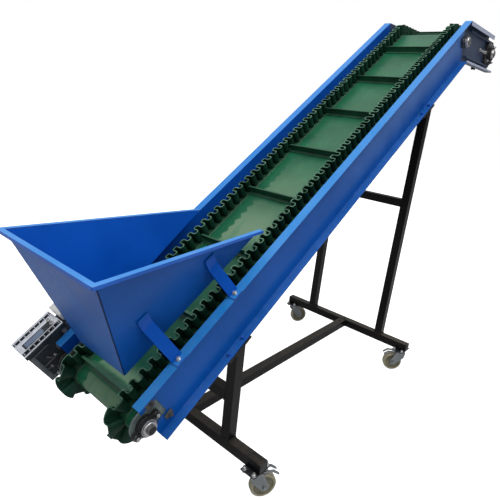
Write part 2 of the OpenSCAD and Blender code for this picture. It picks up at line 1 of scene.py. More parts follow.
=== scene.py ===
"""Finishes and fittings for an inclined conveyor with a corrugated sidewall belt."""
import math
import bmesh
import bpy
from bpy.props import FloatProperty, FloatVectorProperty, IntProperty, PointerProperty
from mathutils import Matrix, Vector


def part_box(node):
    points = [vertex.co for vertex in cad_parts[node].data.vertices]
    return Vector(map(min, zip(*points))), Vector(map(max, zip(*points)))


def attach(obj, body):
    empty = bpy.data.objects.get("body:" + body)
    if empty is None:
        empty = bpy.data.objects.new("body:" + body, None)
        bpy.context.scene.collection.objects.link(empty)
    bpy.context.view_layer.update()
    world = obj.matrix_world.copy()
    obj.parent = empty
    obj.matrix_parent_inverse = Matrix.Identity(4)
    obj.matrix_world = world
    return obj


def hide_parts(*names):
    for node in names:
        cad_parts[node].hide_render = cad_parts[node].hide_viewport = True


bl_info = {
    "name": "Belt conveyor finishes",
    "version": (1, 0, 0),
    "blender": (4, 5, 0),
    "location": "3D View > Sidebar > Conveyor",
    "description": "Dresses the packed conveyor with its belt, fittings and finishes",
    "category": "Object",
}

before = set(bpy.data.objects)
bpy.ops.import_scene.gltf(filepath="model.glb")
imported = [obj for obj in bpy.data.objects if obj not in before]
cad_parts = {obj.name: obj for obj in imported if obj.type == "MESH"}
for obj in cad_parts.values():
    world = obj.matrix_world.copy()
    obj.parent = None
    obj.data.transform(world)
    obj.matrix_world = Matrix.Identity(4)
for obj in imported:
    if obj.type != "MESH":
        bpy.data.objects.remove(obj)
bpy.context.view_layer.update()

# Places on the machine, in metres
INCLINE = math.radians(34)
ALONG = Vector((math.cos(INCLINE), 0, math.sin(INCLINE)))
OFF = Vector((-math.sin(INCLINE), 0, math.cos(INCLINE)))
ACROSS = Vector((0, 1, 0))
UP = Vector((0, 0, 1))
LOW_END = Vector((-1.199345, 0, 0.504))
KNEE_TOP = Vector((0.790345, 0, 1.846063))
RAIL_H = 0.190
SHEET = 0.004
HALF_W = 0.205
WEB_OUT = HALF_W + SHEET
RAIL_OUT = HALF_W + 0.035
BRACES = ((0.180, 0.178), (0.452, 0.150))
BRACE_HALF = 0.020
PLATE = 0.003
RIM_CORNER = Vector((-1.332345, 0.245, 0.930))
RIM_TIP_Y = 0.152
TIP_N = 0.044
GEAR_S0 = -0.093
GEAR_L = 0.153
GEAR_TOP = 0.035
BOX_GAP = 0.040
GEAR_MID_Y = 0.300
BASE_TOP = 0.170
FRONT_X = -0.788345
REAR_X = 0.456655
CASTERS = {
    "front_near": (FRONT_X, -0.365, -30),
    "front_far": (FRONT_X, 0.365, -150),
    "rear_near": (REAR_X, -0.365, 128),
    "rear_far": (REAR_X, 0.365, -35),
}
TRAIL = 0.034
WHEEL_R = 0.050


def on_slope(s, y, n):
    """A place s along the rails from their low end, y across and n above their top."""
    return LOW_END + ALONG * s + OFF * n + ACROSS * y


def on_level(x, y, z):
    """A place x past the bend, y across and z above the rails' top."""
    return KNEE_TOP + Vector((x, y, z))


def srgb(r, g, b):
    """A colour of three 0 to 255 values as the renderer's linear numbers."""
    return tuple(((v / 255 + 0.055) / 1.055) ** 2.4 if v > 10 else v / 255 / 12.92 for v in (r, g, b))


# Sizes and colours that a user would change
def colour(name, description, default):
    return FloatVectorProperty(name=name, description=description, subtype="COLOR", min=0, max=1, default=default)


class ConveyorFinishes(bpy.types.PropertyGroup):
    """Colours and wear of the machine's surfaces."""
    blue: colour("Blue paint", "Paint on rails and hopper", srgb(4, 74, 170))
    # The colour below is a painted highlight: the paler blue given to faces that look up.
    bleached: colour("Bleached blue", "Blue paint where it faces the sky", srgb(34, 140, 202))
    black: colour("Black paint", "Coat on the stand", srgb(10, 9, 10))
    grey: colour("Grey frame", "Coat on the discharge frame", srgb(40, 58, 86))
    belt: colour("Belt", "Top cover of the belt", srgb(12, 76, 50))
    # The colour below is a painted reflection: the pale sky sheen on the belt between the cleats.
    sheen: colour("Belt bloom", "Dusty worn patches of the belt", srgb(100, 122, 98))
    wall: colour("Sidewalls", "Rubber of the corrugated sidewalls", srgb(6, 40, 28))
    zinc: colour("Zinc", "Plated forks of the casters", srgb(150, 156, 158))
    tyre: colour("Tyres", "Clear cream tyres of the casters", srgb(178, 172, 146))
    rust: colour("Rust", "Rust in chips and at cut edges", srgb(122, 62, 30))
    dust: FloatProperty(name="Dust", description="How much pale dust lies on top faces", subtype="FACTOR", min=0, max=1, default=0.30)
    wear: FloatProperty(name="Wear", description="How much paint is chipped at edges", subtype="FACTOR", min=0, max=1, default=0.5)


class ConveyorBelt(bpy.types.PropertyGroup):
    """Sizes of the belt's corrugated sidewalls."""
    waves: IntProperty(name="Waves", description="Corrugations round the whole loop", min=60, max=200, default=143)
    inner: FloatProperty(name="Inner face", description="Inner face of a sidewall from the middle", subtype="DISTANCE", unit="LENGTH", default=0.127)
    outer: FloatProperty(name="Outer face", description="Outer face of a sidewall from the middle", subtype="DISTANCE", unit="LENGTH", default=0.160)
    height: FloatProperty(name="Height", description="Height of the sidewalls over the belt", subtype="DISTANCE", unit="LENGTH", default=0.0547)
    wall: FloatProperty(name="Wall", description="Thickness of the sidewall rubber", subtype="DISTANCE", unit="LENGTH", default=0.0045)
    neck: FloatProperty(name="Neck", description="How far each wave leans over its neck", subtype="DISTANCE", unit="LENGTH", default=0.0042)


class ConveyorStage(bpy.types.PropertyGroup):
    """Lamps and floor."""
    sky: FloatProperty(name="Sky", description="Strength of the sky straight overhead", min=0, default=0.95)
    horizon: FloatProperty(name="Horizon", description="Strength of the surroundings at eye height", min=0, default=0.12)
    key: FloatProperty(name="Key", description="Power of the large lamp overhead", subtype="POWER", unit="POWER", min=0, default=120)
    fill: FloatProperty(name="Fill", description="Power of the lamp in front", subtype="POWER", unit="POWER", min=0, default=14)
    floor: colour("Floor", "Colour of the floor", (0.50, 0.50, 0.51))


# Shader expressions
class Sock:
    """A value socket that adds Math nodes when it is used in an expression."""

    def __init__(self, finish, socket):
        self.finish = finish
        self.socket = socket

    def _do(self, operation, a, b):
        return self.finish.node("ShaderNodeMath", {"operation": operation}, {0: a, 1: b})

    def __add__(self, b):
        return self._do("ADD", self, b)

    def __sub__(self, b):
        return self._do("SUBTRACT", self, b)

    def __rsub__(self, a):
        return self._do("SUBTRACT", a, self)

    def __mul__(self, b):
        return self._do("MULTIPLY", self, b)

    def __truediv__(self, b):
        return self._do("DIVIDE", self, b)

    def __pow__(self, b):
        return self._do("POWER", self, b)

    def __mod__(self, b):
        return self._do("FLOORED_MODULO", self, b)

    def __abs__(self):
        return self._do("ABSOLUTE", self, 0.0)

    def sin(self):
        return self._do("SINE", self, 0.0)

    def low(self, b):
        return self._do("MINIMUM", self, b)

    def high(self, b):
        return self._do("MAXIMUM", self, b)

    __radd__ = __add__
    __rmul__ = __mul__


class Finish:
    """A material while its nodes are laid down."""

    def __init__(self, name):
        self.material = bpy.data.materials.new(name)
        self.material.use_nodes = True
        self.tree = self.material.node_tree
        self.shader = self.tree.nodes["Principled BSDF"]
        self.place = self.node("ShaderNodeTexCoord", out="Object")
        self.normal = None

    def node(self, kind, settings=None, inputs=None, out=0):
        """Any node: its settings, then the values or links of its sockets. Gives one output."""
        made = self.tree.nodes.new(kind)
        for key, value in (settings or {}).items():
            setattr(made, key, value)
        for key, value in (inputs or {}).items():
            if isinstance(value, Sock):
                self.tree.links.new(value.socket, made.inputs[key])
            else:
                made.inputs[key].default_value = value
        return Sock(self, made.outputs[out])

    def noise(self, scale, detail=4.0, rough=0.55, where=None, warp=0.0):
        return self.node("ShaderNodeTexNoise", None, {
            "Vector": where or self.place, "Scale": scale, "Detail": detail, "Roughness": rough, "Distortion": warp})

    def cells(self, scale, where=None):
        return self.node("ShaderNodeTexVoronoi", {"feature": "F1"}, {"Vector": where or self.place, "Scale": scale}, "Distance")

    def stretch(self, x, y, z, where=None):
        return self.node("ShaderNodeMapping", None, {"Vector": where or self.place, "Scale": (x, y, z)})

    def parts(self, vector):
        made = self.tree.nodes.new("ShaderNodeSeparateXYZ")
        self.tree.links.new(vector.socket, made.inputs[0])
        return [Sock(self, s) for s in made.outputs]

    def band(self, value, low, high):
        """0 below low, 1 above high and smooth between."""
        return self.node("ShaderNodeMapRange", {"interpolation_type": "SMOOTHSTEP", "clamp": True},
                         {"Value": value, "From Min": low, "From Max": high})

    def mix(self, factor, a, b):
        a, b = ((*v, 1) if isinstance(v, tuple) and len(v) == 3 else v for v in (a, b))
        return self.node("ShaderNodeMix", {"data_type": "RGBA"}, {0: factor, 6: a, 7: b}, 2)

    def along(self, way):
        """How far the surface lies along a direction from the rails' low end."""
        reach = self.node("ShaderNodeVectorMath", {"operation": "DOT_PRODUCT"}, {0: self.place, 1: tuple(way)}, "Value")
        return reach - LOW_END.dot(way)

    def facing_up(self):
        normal = self.node("ShaderNodeNewGeometry", out="Normal")
        return self.band(self.parts(normal)[2], 0.35, 0.95)

    def soft_edge(self, radius):
        """Rounds the look of sharp edges and gives a mask of where they are."""
        self.normal = self.node("ShaderNodeBevel", {"samples": 4}, {"Radius": radius})
        flat = self.node("ShaderNodeNewGeometry", out="Normal")
        same = self.node("ShaderNodeVectorMath", {"operation": "DOT_PRODUCT"}, {0: self.normal, 1: flat}, "Value")
        return self.band(1 - same, 0.03, 0.25)

    def bump(self, height, distance, strength=1.0):
        inputs = {"Height": height, "Distance": distance, "Strength": strength}
        if self.normal:
            inputs["Normal"] = self.normal
        self.normal = self.node("ShaderNodeBump", None, inputs)

    def end(self, base, rough, metal=0.0, **fixed):
        """Feeds the shader and gives the material."""
        for key, value in {"Base Color": base, "Roughness": rough, "Metallic": metal}.items():
            socket = self.shader.inputs[key]
            if isinstance(value, Sock):
                self.tree.links.new(value.socket, socket)
            else:
                socket.default_value = (*value, 1) if isinstance(value, tuple) else value
        if self.normal:
            self.tree.links.new(self.normal.socket, self.shader.inputs["Normal"])
        for key, value in fixed.items():
            self.shader.inputs[key.replace("_", " ")].default_value = value
        return self.material


def scaled(rgb, k):
    return tuple(min(1.0, v * k) for v in rgb)


def painted(name, rgb, dusty=1.0, gloss=0.30, chipped=1.0, run=1.0, bleached=None, film_rgb=srgb(150, 158, 164),
            side_film=0.25, tint=(1, 1, 1), shine=0.38, haze=None, shaded=0.2, lips=None):
    """Sprayed paint with orange peel, a thin dust film, scuffs and chipped edges, with painted light: a painted
    highlight on faces that look up, a painted reflection on the upper side faces of the rails and a painted highlight
    on the flanges' outer ends.
    """
    look = bpy.context.scene.conveyor_finishes
    rgb = tuple(rgb)
    f = Finish(name)
    edge = f.soft_edge(0.0012)
    cloud = f.noise(3.2, 5, 0.6)
    fine = f.noise(46, 5, 0.65)
    grit = f.noise(240, 3, 0.6)
    scuffs = f.band(f.noise(14, 6, 0.7, f.stretch(1, 5, 2)), 0.62, 0.78)
    base = f.mix(f.band(cloud, 0.30, 0.70), scaled(rgb, 0.86), scaled(rgb, 1.10))
    base = f.mix(scuffs * 0.12 * run, base, scaled(rgb, 1.9))
    up = f.facing_up()
    height = f.along(OFF)
    # Painted highlight: faces that look up are mixed towards the paler highlight colour, fully near the rails' top and
    # only by the share in shaded lower down, so the lower flanges stay darker as painted shade.
    if bleached:
        base = f.mix(up * (0.40 + 0.2 * cloud) * (f.band(height, -0.12, -0.04) * (1 - shaded) + shaded), base, bleached)
    # Painted reflection: a pale glare on the side faces of the upper part of the web, between two distances along the
    # rails.
    if haze:
        low, high, hazed = haze
        glare_mask = f.band(f.along(ALONG) + cloud * 0.5, low, high) * f.band(height + cloud * 0.10, -0.13, -0.01)
        base = f.mix(glare_mask * (1 - up) * 0.55, base, hazed)
    # Painted highlight along the outer ends of the flanges.
    if lips:
        base = f.mix(f.band(abs(f.parts(f.place)[1]), RAIL_OUT - 0.0015, RAIL_OUT - 0.0005) * (0.55 + 0.3 * cloud), base, lips)
    film = (up * 0.75 + side_film) * f.band(cloud + fine * 0.5, 0.45, 1.05) * look.dust * dusty
    base = f.mix(film * 0.5, base, film_rgb)
    chips = (edge * f.band(fine + grit * 0.35, 0.72, 0.80)).low(1.0) * look.wear * chipped
    specks = f.band(grit + cloud * 0.15, 0.79, 0.82) * 0.5 * chipped
    bare = f.mix(f.band(fine, 0.45, 0.60), srgb(150, 152, 156), tuple(look.rust))
    base = f.mix((chips * 1.6 + specks).low(1.0), base, bare)
    rough = film * 0.45 + fine * 0.10 + scuffs * 0.14 + chips * 0.3 + (gloss - 0.05)
    f.bump(grit * 0.5 + f.noise(130, 2) * 0.5 - chips * 2.0, 0.0003, 0.35)
    return f.end(base, rough, Specular_IOR_Level=shine, Specular_Tint=(*tint, 1))


def plated(name, rgb, rough=0.34, stain=1.0, metal=0.95, brushed=0.0):
    """Zinc or bare steel with a mottled skin, dull stains and a little rust."""
    look = bpy.context.scene.conveyor_finishes
    rgb = tuple(rgb)
    f = Finish(name)
    edge = f.soft_edge(0.0008)
    spangle = f.cells(70)
    cloud = f.noise(16, 6, 0.65)
    fine = f.noise(150, 4, 0.6)
    lines = f.noise(60, 4, 0.7, f.stretch(1, 40, 40)) if brushed else fine
    base = f.mix(f.band(cloud, 0.35, 0.68), scaled(rgb, 0.72), scaled(rgb, 1.08))
    base = f.mix(f.band(spangle, 0.1, 0.7) * 0.25, base, scaled(rgb, 0.62))
    dirt = f.band(cloud + fine * 0.4, 0.74, 0.98) * 0.75 * stain
    base = f.mix(dirt, base, srgb(58, 50, 42))
    rusty = f.band(f.noise(34, 5, 0.7) + edge * 0.10, 0.68, 0.76) * 0.8 * stain
    base = f.mix(rusty, base, tuple(look.rust))
    base = f.mix(edge * 0.3, base, scaled(rgb, 1.35))
    f.bump(fine * 0.6 + lines * 0.4, 0.0004, 0.4)
    return f.end(base, rough + fine * 0.14 + dirt * 0.3 + rusty * 0.3, (1 - dirt * 0.8 - rusty * 0.6).high(0.0) * metal)


def cast_iron(name, rgb, shine=0.5):
    """Dark cast or blackened metal, greasy in places."""
    f = Finish(name)
    edge = f.soft_edge(0.0012)
    cloud = f.noise(22, 6, 0.7)
    pits = f.noise(210, 4, 0.7)
    grease = f.band(cloud, 0.52, 0.66)
    base = f.mix(f.band(cloud, 0.3, 0.7), scaled(rgb, 0.7), scaled(rgb, 1.5))
    base = f.mix(grease * 0.5, base, srgb(18, 15, 12))
    base = f.mix(edge * f.band(pits, 0.40, 0.6) * 0.7, base, srgb(150, 148, 144))
    f.bump(pits, 0.0008, 0.55)
    return f.end(base, 0.62 - grease * 0.3 - edge * 0.1 + pits * 0.1, edge * 0.5 + 0.25 * shine)


def rubber(name, rgb, worn_and_lit, rough=0.62):
    """Sidewall rubber: dark, with pale scuffs, a pale top edge that is a painted highlight on the top face, painted
    shade at its foot, and mould lines.
    """
    f = Finish(name)
    uv = f.node("ShaderNodeTexCoord", out="UV")
    along, height, _ = f.parts(uv)
    cloud = f.noise(9, 5, 0.65)
    fine = f.noise(120, 4, 0.65)
    crest_highlight = f.band(height + fine * 0.002, 0.0545, 0.0563)
    base = f.mix(f.band(cloud, 0.35, 0.68), scaled(rgb, 0.70), scaled(rgb, 1.35))
    base = f.mix(f.band(fine + cloud * 0.5, 0.72, 0.98) * 0.12, base, scaled(worn_and_lit, 0.5))
    # Painted highlight on the top face of the wall.
    base = f.mix(crest_highlight * f.band(fine + cloud, 0.65, 1.15) * 0.9, base, worn_and_lit)
    # Painted shade: darker at the foot of the wall, in the crease by the belt.
    low = 1 - f.band(height, 0.004, 0.020)
    base = f.mix(low * 0.35, base, scaled(rgb, 0.5))
    f.bump(fine * 0.5 + f.noise(420, 2) * 0.3, 0.0005, 0.5)
    return f.end(base, crest_highlight * 0.15 + fine * 0.2 + (rough - 0.2), Specular_IOR_Level=0.30, Specular_Tint=(0.55, 1.0, 0.8, 1))


def belting(name, rgb, sheen, cells):
    """Belt cover: satin green with a cloth grain, pale patches between the cleats that are a painted sky reflection
    edged by the sidewalls' painted shadow, and a painted shadow under the hopper.
    """
    f = Finish(name)
    uv = f.node("ShaderNodeTexCoord", out="UV")
    along, across, _ = f.parts(uv)
    cloud = f.noise(6, 5, 0.6)
    ragged = f.noise(30, 5, 0.7)
    fine = f.noise(260, 3, 0.6)
    step, first, wave = cells
    past = ((along + (step - first)) / step) % 1.0
    slope = f.along(ALONG)
    drift = f.noise(1.7, 2, 0.5, f.stretch(1, 1.6, 1), 0.4)
    # The ragged, wavy bounds across the belt are the edges of the sidewalls' painted shadow.
    teeth = (along * (math.tau / wave)).sin() * 0.006 + ragged * 0.016 + drift * 0.05
    inside = (1 - f.band(across + teeth, 0.106, 0.110)) * f.band(across - teeth, -0.150, -0.144)
    mid = inside * f.band(past + ragged * 0.06, 0.07, 0.16) * (1 - f.band(past + ragged * 0.05, 0.94, 0.985))
    base = f.mix(f.band(cloud, 0.32, 0.70), scaled(rgb, 0.78), scaled(rgb, 1.25))
    # Painted reflection: a pale sky sheen in the middle of each cell, stronger towards one end of the cell and fading
    # up the slope.
    cell_sheen = f.band(past + drift * 0.9 + cloud * 0.4, 0.60, 1.50)
    lower = 1 - f.band(slope, 0.75, 1.25) * 0.84
    # Painted shadow of the hopper over the near half of the belt under it.
    hopper_shadow = (1 - f.band(slope, 0.62, 0.76)) * f.band(slope, 0.06, 0.12) * (1 - f.band(across, -0.050, -0.020))
    dusty = mid * (cell_sheen * 0.66 + f.band(drift, 0.3, 0.7) * 0.12 + 0.03) * lower * (1 - hopper_shadow)
    # The same painted reflection where the belt turns over the top of the tail drum.
    over_drum = (1 - f.band(slope + ragged * 0.01, 0.004, 0.012)) * f.band(f.along(OFF) + ragged * 0.006, -0.083, -0.079)
    dusty = dusty.high(over_drum * inside * (cloud * 0.3 + 0.50))
    base = f.mix(dusty, base, sheen)
    wiped = f.band(f.noise(5, 4, 0.6, f.stretch(1.0, 2.6, 1.0), 0.8), 0.56, 0.60) * mid
    base = f.mix(wiped * 0.30 * lower, base, scaled(rgb, 1.6))
    # Painted shadow: the belt under the hopper's near side is darkened.
    base = f.mix(hopper_shadow * 0.55, base, scaled(rgb, 0.35))
    streak = f.band(f.noise(11, 5, 0.6, f.stretch(1.2, 9, 1.2)), 0.55, 0.75)
    base = f.mix(streak * 0.14, base, scaled(sheen, 1.15))
    base = f.mix(f.band(fine, 0.66, 0.8) * 0.30, base, scaled(rgb, 0.55))
    weave = f.node("ShaderNodeTexChecker", None, {"Vector": uv, "Scale": 900.0}, "Fac")
    f.bump(weave * 0.3 + fine * 0.7, 0.0003, 0.35)
    return f.end(base, dusty * 0.22 + ragged * 0.14 + 0.32, Specular_IOR_Level=0.38, Specular_Tint=(0.6, 1.0, 0.85, 1))


def tyre_finish(name, rgb):
    """Milky cast tyre with grey road dirt worn into its tread."""
    f = Finish(name)
    cloud = f.noise(40, 5, 0.65)
    fine = f.noise(300, 3, 0.6)
    dirt = f.band(cloud + fine * 0.4, 0.50, 0.90)
    base = f.mix(f.band(cloud, 0.35, 0.65), scaled(rgb, 0.70), scaled(rgb, 1.10))
    base = f.mix(dirt * 0.6, base, srgb(78, 72, 56))
    f.bump(fine + cloud * 0.5, 0.0004, 0.4)
    return f.end(base, dirt * 0.3 + 0.32, Subsurface_Weight=0.35, Subsurface_Radius=(0.010, 0.008, 0.005), Subsurface_Scale=0.6)


def plastic(name, rgb, rough=0.45):
    """Moulded plastic with a fine grain."""
    f = Finish(name)
    cloud = f.noise(24, 4, 0.6)
    fine = f.noise(500, 2, 0.5)
    base = f.mix(f.band(cloud, 0.3, 0.7), scaled(rgb, 0.85), scaled(rgb, 1.2))
    base = f.mix(f.band(cloud + fine * 0.4, 0.7, 1.0) * 0.3, base, srgb(120, 116, 108))
    f.bump(fine, 0.0002, 0.4)
    return f.end(base, fine * 0.1 + rough)


BLUE_SHINE = (0.22, 0.52, 1.0)
BROWN_DUST = srgb(124, 114, 100)
FINISHES = {}


def finish(name, make, *values, **more):
    """The material of that name, made the first time it is asked for."""
    if name not in FINISHES:
        FINISHES[name] = make(name, *values, **more)
    return FINISHES[name]


def black_coat(look):
    """The stand's black paint, brown with dust on its top faces."""
    return finish("black_coat", painted, look.black, dusty=2.4, gloss=0.34, film_rgb=BROWN_DUST, side_film=0.01, shine=0.2)


# Modelling
def coat(material, *nodes):
    """Gives CAD nodes a finish."""
    for name in nodes:
        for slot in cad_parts[name].material_slots:
            slot.material = material


def piece(bm, name, material, body="frame", stands_for=(), sharp=35):
    """Makes an object of a bmesh and puts it on its body."""
    for edge in bm.edges:
        edge.smooth = len(edge.link_faces) == 2 and edge.calc_face_angle(0) < math.radians(sharp)
    for face in bm.faces:
        face.smooth = True
    mesh = bpy.data.meshes.new(name)
    bm.to_mesh(mesh)
    bm.free()
    mesh.materials.append(material)
    made = bpy.data.objects.new(name, mesh)
    bpy.context.scene.collection.objects.link(made)
    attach(made, body)
    if stands_for:
        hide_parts(*stands_for)
    return made


def aim(place, axis, turn=0.0):
    """A matrix that puts local Z along axis at a place."""
    return Matrix.Translation(place) @ axis.to_track_quat("Z", "Y").to_matrix().to_4x4() @ Matrix.Rotation(turn, 4, "Z")


def disc(bm, where, r, depth, top=None, segments=24, lift=0.0):
    bmesh.ops.create_cone(bm, cap_ends=True, segments=segments, radius1=r, radius2=r if top is None else top,
                          depth=depth, matrix=where @ Matrix.Translation((0, 0, lift + depth / 2)))


def hex_bolt(bm, place, axis, r, turn=0.0, washer=True, tail=0.0):
    """A hexagon head with its chamfer, on a washer, and its thread end below."""
    where = aim(place, axis, turn)
    t = r * 0.22 if washer else 0.0
    if washer:
        disc(bm, where, r * 1.35, t)
    disc(bm, where, r, r * 0.95, segments=6, lift=t)
    disc(bm, where, r * 0.94, r * 0.16, top=r * 0.78, segments=18, lift=t + r * 0.95)
    if tail:
        disc(bm, where, r * 0.55, tail, segments=12, lift=t + r * 1.1)


def ring(bm, where, profile, segments=48):
    """Turns a closed profile of (radius, height) points round local Z."""
    verts = [bm.verts.new(where @ Vector((r, 0, h))) for r, h in profile]
    edges = [bm.edges.new((a, b)) for a, b in zip(verts, verts[1:] + verts[:1])]
    centre = where.to_translation()
    axis = where.to_3x3() @ Vector((0, 0, 1))
    bmesh.ops.spin(bm, geom=verts + edges, cent=centre, axis=axis, dvec=(0, 0, 0), angle=math.tau,
                   steps=segments, use_merge=True, use_duplicate=False)


def block(bm, where, size, bevel=0.0):
    """A box with its edges bevelled."""
    made = bmesh.ops.create_cube(bm, size=1, matrix=where @ Matrix.Diagonal((*size, 1)))["verts"]
    if bevel:
        edges = list({e for v in made for e in v.link_edges})
        bmesh.ops.bevel(bm, geom=edges, offset=bevel, offset_type="OFFSET", affect="EDGES", segments=2, profile=0.5, material=-1)


def weld(bm, start, end, r):
    """A rippled bead of weld from start to end."""
    run = end - start
    steps = max(6, int(run.length / 0.002))
    before = set(bm.verts)
    first = bmesh.ops.create_circle(bm, cap_ends=True, segments=7, radius=r, matrix=aim(start, run))["verts"]
    geom = list({f for v in first for f in v.link_faces}) + list({e for v in first for e in v.link_edges}) + first
    bmesh.ops.spin(bm, geom=geom, cent=start, axis=(0, 0, 1), dvec=run / steps, angle=0, steps=steps,
                   use_merge=False, use_duplicate=False)
    for v in set(bm.verts) - before:
        t = (v.co - start).dot(run) / run.length_squared
        centre = start + run * t
        along = t * run.length
        ripple = 0.78 + 0.34 * abs(math.sin(along / 0.0035 * math.pi)) + 0.10 * math.sin(along * 190)
        v.co = centre + (v.co - centre) * ripple


class BeltPath:
    """The belt's outer face in the side view: four arcs joined by straight runs."""

    def __init__(self):
        def middle(node):
            low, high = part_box(node)
            return Vector(((low.x + high.x) / 2, 0, (low.z + high.z) / 2))

        knee = middle("knee_drum")
        self.belt_t = 0.004
        r = 0.031 + self.belt_t
        bend_r = 0.176
        bend = knee + Vector(((r + bend_r) * math.tan(INCLINE / 2), 0, -(r + bend_r)))
        q = math.pi / 2
        self.arcs = [
            (middle("tail_drum"), r, q + INCLINE, 3 * q + INCLINE),
            (bend, -bend_r, q + INCLINE, q),
            (middle("head_drum"), r, 3 * q, 5 * q),
            (knee, r, q, q + INCLINE),
        ]
        self.runs = []
        for k in range(4):
            n = (k + 1) % 4
            a, b = self.on_arc(k, self.arcs[k][3], 0), self.on_arc(n, self.arcs[n][2], 0)
            self.runs += [abs(self.arcs[k][3] - self.arcs[k][2]) * abs(self.arcs[k][1]), (b - a).length]
        self.length = sum(self.runs)

    def on_arc(self, k, angle, h):
        centre, r, _, _ = self.arcs[k]
        reach = r + h if r > 0 else -r - h
        return centre + Vector((math.cos(angle), 0, math.sin(angle))) * reach

    def at(self, d, h):
        """The place a distance d round the loop and h over the belt."""
        d %= self.length
        i = 0
        while i < 7 and d >= self.runs[i]:
            d -= self.runs[i]
            i += 1
        k, f = i // 2, d / self.runs[i]
        _, _, a0, a1 = self.arcs[k]
        if i % 2 == 0:
            return self.on_arc(k, a0 + (a1 - a0) * f, h)
        n = (k + 1) % 4
        return self.on_arc(k, a1, h).lerp(self.on_arc(n, self.arcs[n][2], h), f)

    def sweep(self, bm, section, pitch):
        """Carries a section round the loop from the top of the tail drum and closes it. The section's points are (y,
        h).
        """
        start = [bm.verts.new(self.at(0, h) + ACROSS * y) for y, h in section]
        edges = [bm.edges.new((a, b)) for a, b in zip(start, start[1:])]
        if len(section) > 3 and section[0] != section[-1] and self.closed:
            edges.append(bm.edges.new((start[-1], start[0])))
        geom = start + edges
        for k, (centre, r, a0, a1) in enumerate(self.arcs):
            steps = max(6, round(self.runs[2 * k] / pitch))
            geom = bmesh.ops.spin(bm, geom=geom, cent=centre, axis=(0, -1, 0), dvec=(0, 0, 0), angle=a1 - a0,
                                  steps=steps, use_merge=False, use_duplicate=False)["geom_last"]
            steps = max(1, round(self.runs[2 * k + 1] / pitch))
            n = (k + 1) % 4
            run = self.on_arc(n, self.arcs[n][2], 0) - self.on_arc(k, a1, 0)
            geom = bmesh.ops.spin(bm, geom=geom, cent=centre, axis=(0, -1, 0), dvec=run / steps, angle=0,
                                  steps=steps, use_merge=False, use_duplicate=False)["geom_last"]
        bmesh.ops.remove_doubles(bm, verts=bm.verts, dist=1e-5)

    closed = True

    def locate(self, p):
        """Distance round the loop and height over the belt of a point."""
        best, start = None, 0.0
        for i, run in enumerate(self.runs):
            k = i // 2
            centre, r, a0, a1 = self.arcs[k]
            if i % 2 == 0:
                v = Vector((p.x - centre.x, p.z - centre.z))
                angle = math.atan2(v.y, v.x)
                mid = (a0 + a1) / 2
                angle += math.tau * round((mid - angle) / math.tau)
                f = (angle - a0) / (a1 - a0)
                h = v.length - r if r > 0 else -r - v.length
            else:
                n = (k + 1) % 4
                a, b = self.on_arc(k, a1, 0), self.on_arc(n, self.arcs[n][2], 0)
                way = (b - a).normalized()
                rel = p - a
                f = (rel.x * way.x + rel.z * way.z) / run
                out = Vector((math.cos(a1), 0, math.sin(a1)))
                h = rel.x * out.x + rel.z * out.z
            if -1e-4 <= f <= 1.0001 and (best is None or abs(h) < abs(best[1]) - 1e-6):
                best = (start + f * run, h)
            start += run
        return best


def uv_by_path(bm, path):
    """UV in metres: distance round the loop and distance across."""
    layer = bm.loops.layers.uv.new("path")
    spots = {v: path.locate(v.co) for v in bm.verts}
    for face in bm.faces:
        rows = [spots[l.vert][0] for l in face.loops]
        wraps = max(rows) - min(rows) > path.length / 2
        for loop, d in zip(face.loops, rows):
            loop[layer].uv = (d + path.length if wraps and d < path.length / 2 else d, loop.vert.co.y)


PATH = BeltPath()
CLEAT_START = 0.035
CLEATS = round(PATH.length / 0.301)


class ConveyorOperator:
    """What every operator here shares: it does its work and ends."""
    bl_options = {"REGISTER", "UNDO"}

    def execute(self, context):
        self.make(context.scene)
        return {"FINISHED"}


class CONVEYOR_OT_sheet_metal(ConveyorOperator, bpy.types.Operator):
    """Paints the rails, the hopper and its braces"""
    bl_idname = "conveyor.sheet_metal"
    bl_label = "Rails and hopper paint"

    def make(self, scene):
        look = scene.conveyor_finishes
        r, g, b = look.blue
        # A greener, less blue copy of the paint for the near rail and the near hopper side: painted light, the tint
        # those faces take from the light in front.
        near_tint = (r, g * 1.12, b * 0.90)
        # These settings add the painted highlight on faces that look up.
        skin = {"bleached": tuple(look.bleached), "tint": BLUE_SHINE, "shine": 0.32, "side_film": 0.08}
        coat(finish("blue_paint", painted, look.blue, **skin), "rail_far", "brace_near", "brace_far")
        # The near rail also carries a painted reflection: a pale glare on the upper part of its web.
        coat(finish("blue_aged", painted, near_tint, haze=(1.2, 2.0, srgb(104, 142, 206)), **skin), "rail_near")
        coat(finish("blue_hopper", painted, look.blue, dusty=0.6, **skin), "hopper_side_far")
        coat(finish("blue_side", painted, near_tint, dusty=0.9, **skin), "hopper_side_near")
        # The rim is a brighter copy of the blue: a painted highlight.
        coat(finish("blue_rim", painted, (0.02, g * 1.6, min(1.0, b * 1.25)), dusty=1.4, **skin), "hopper_rim")
        # The front plate's pale teal-grey film lies on all its faces: dust, and a painted reflection of the glare on
        # that plate.
        coat(finish("blue_dusty", painted, near_tint, dusty=2.2, gloss=0.38, film_rgb=srgb(100, 146, 158), **{**skin, "side_film": 0.36}), "hopper_front")


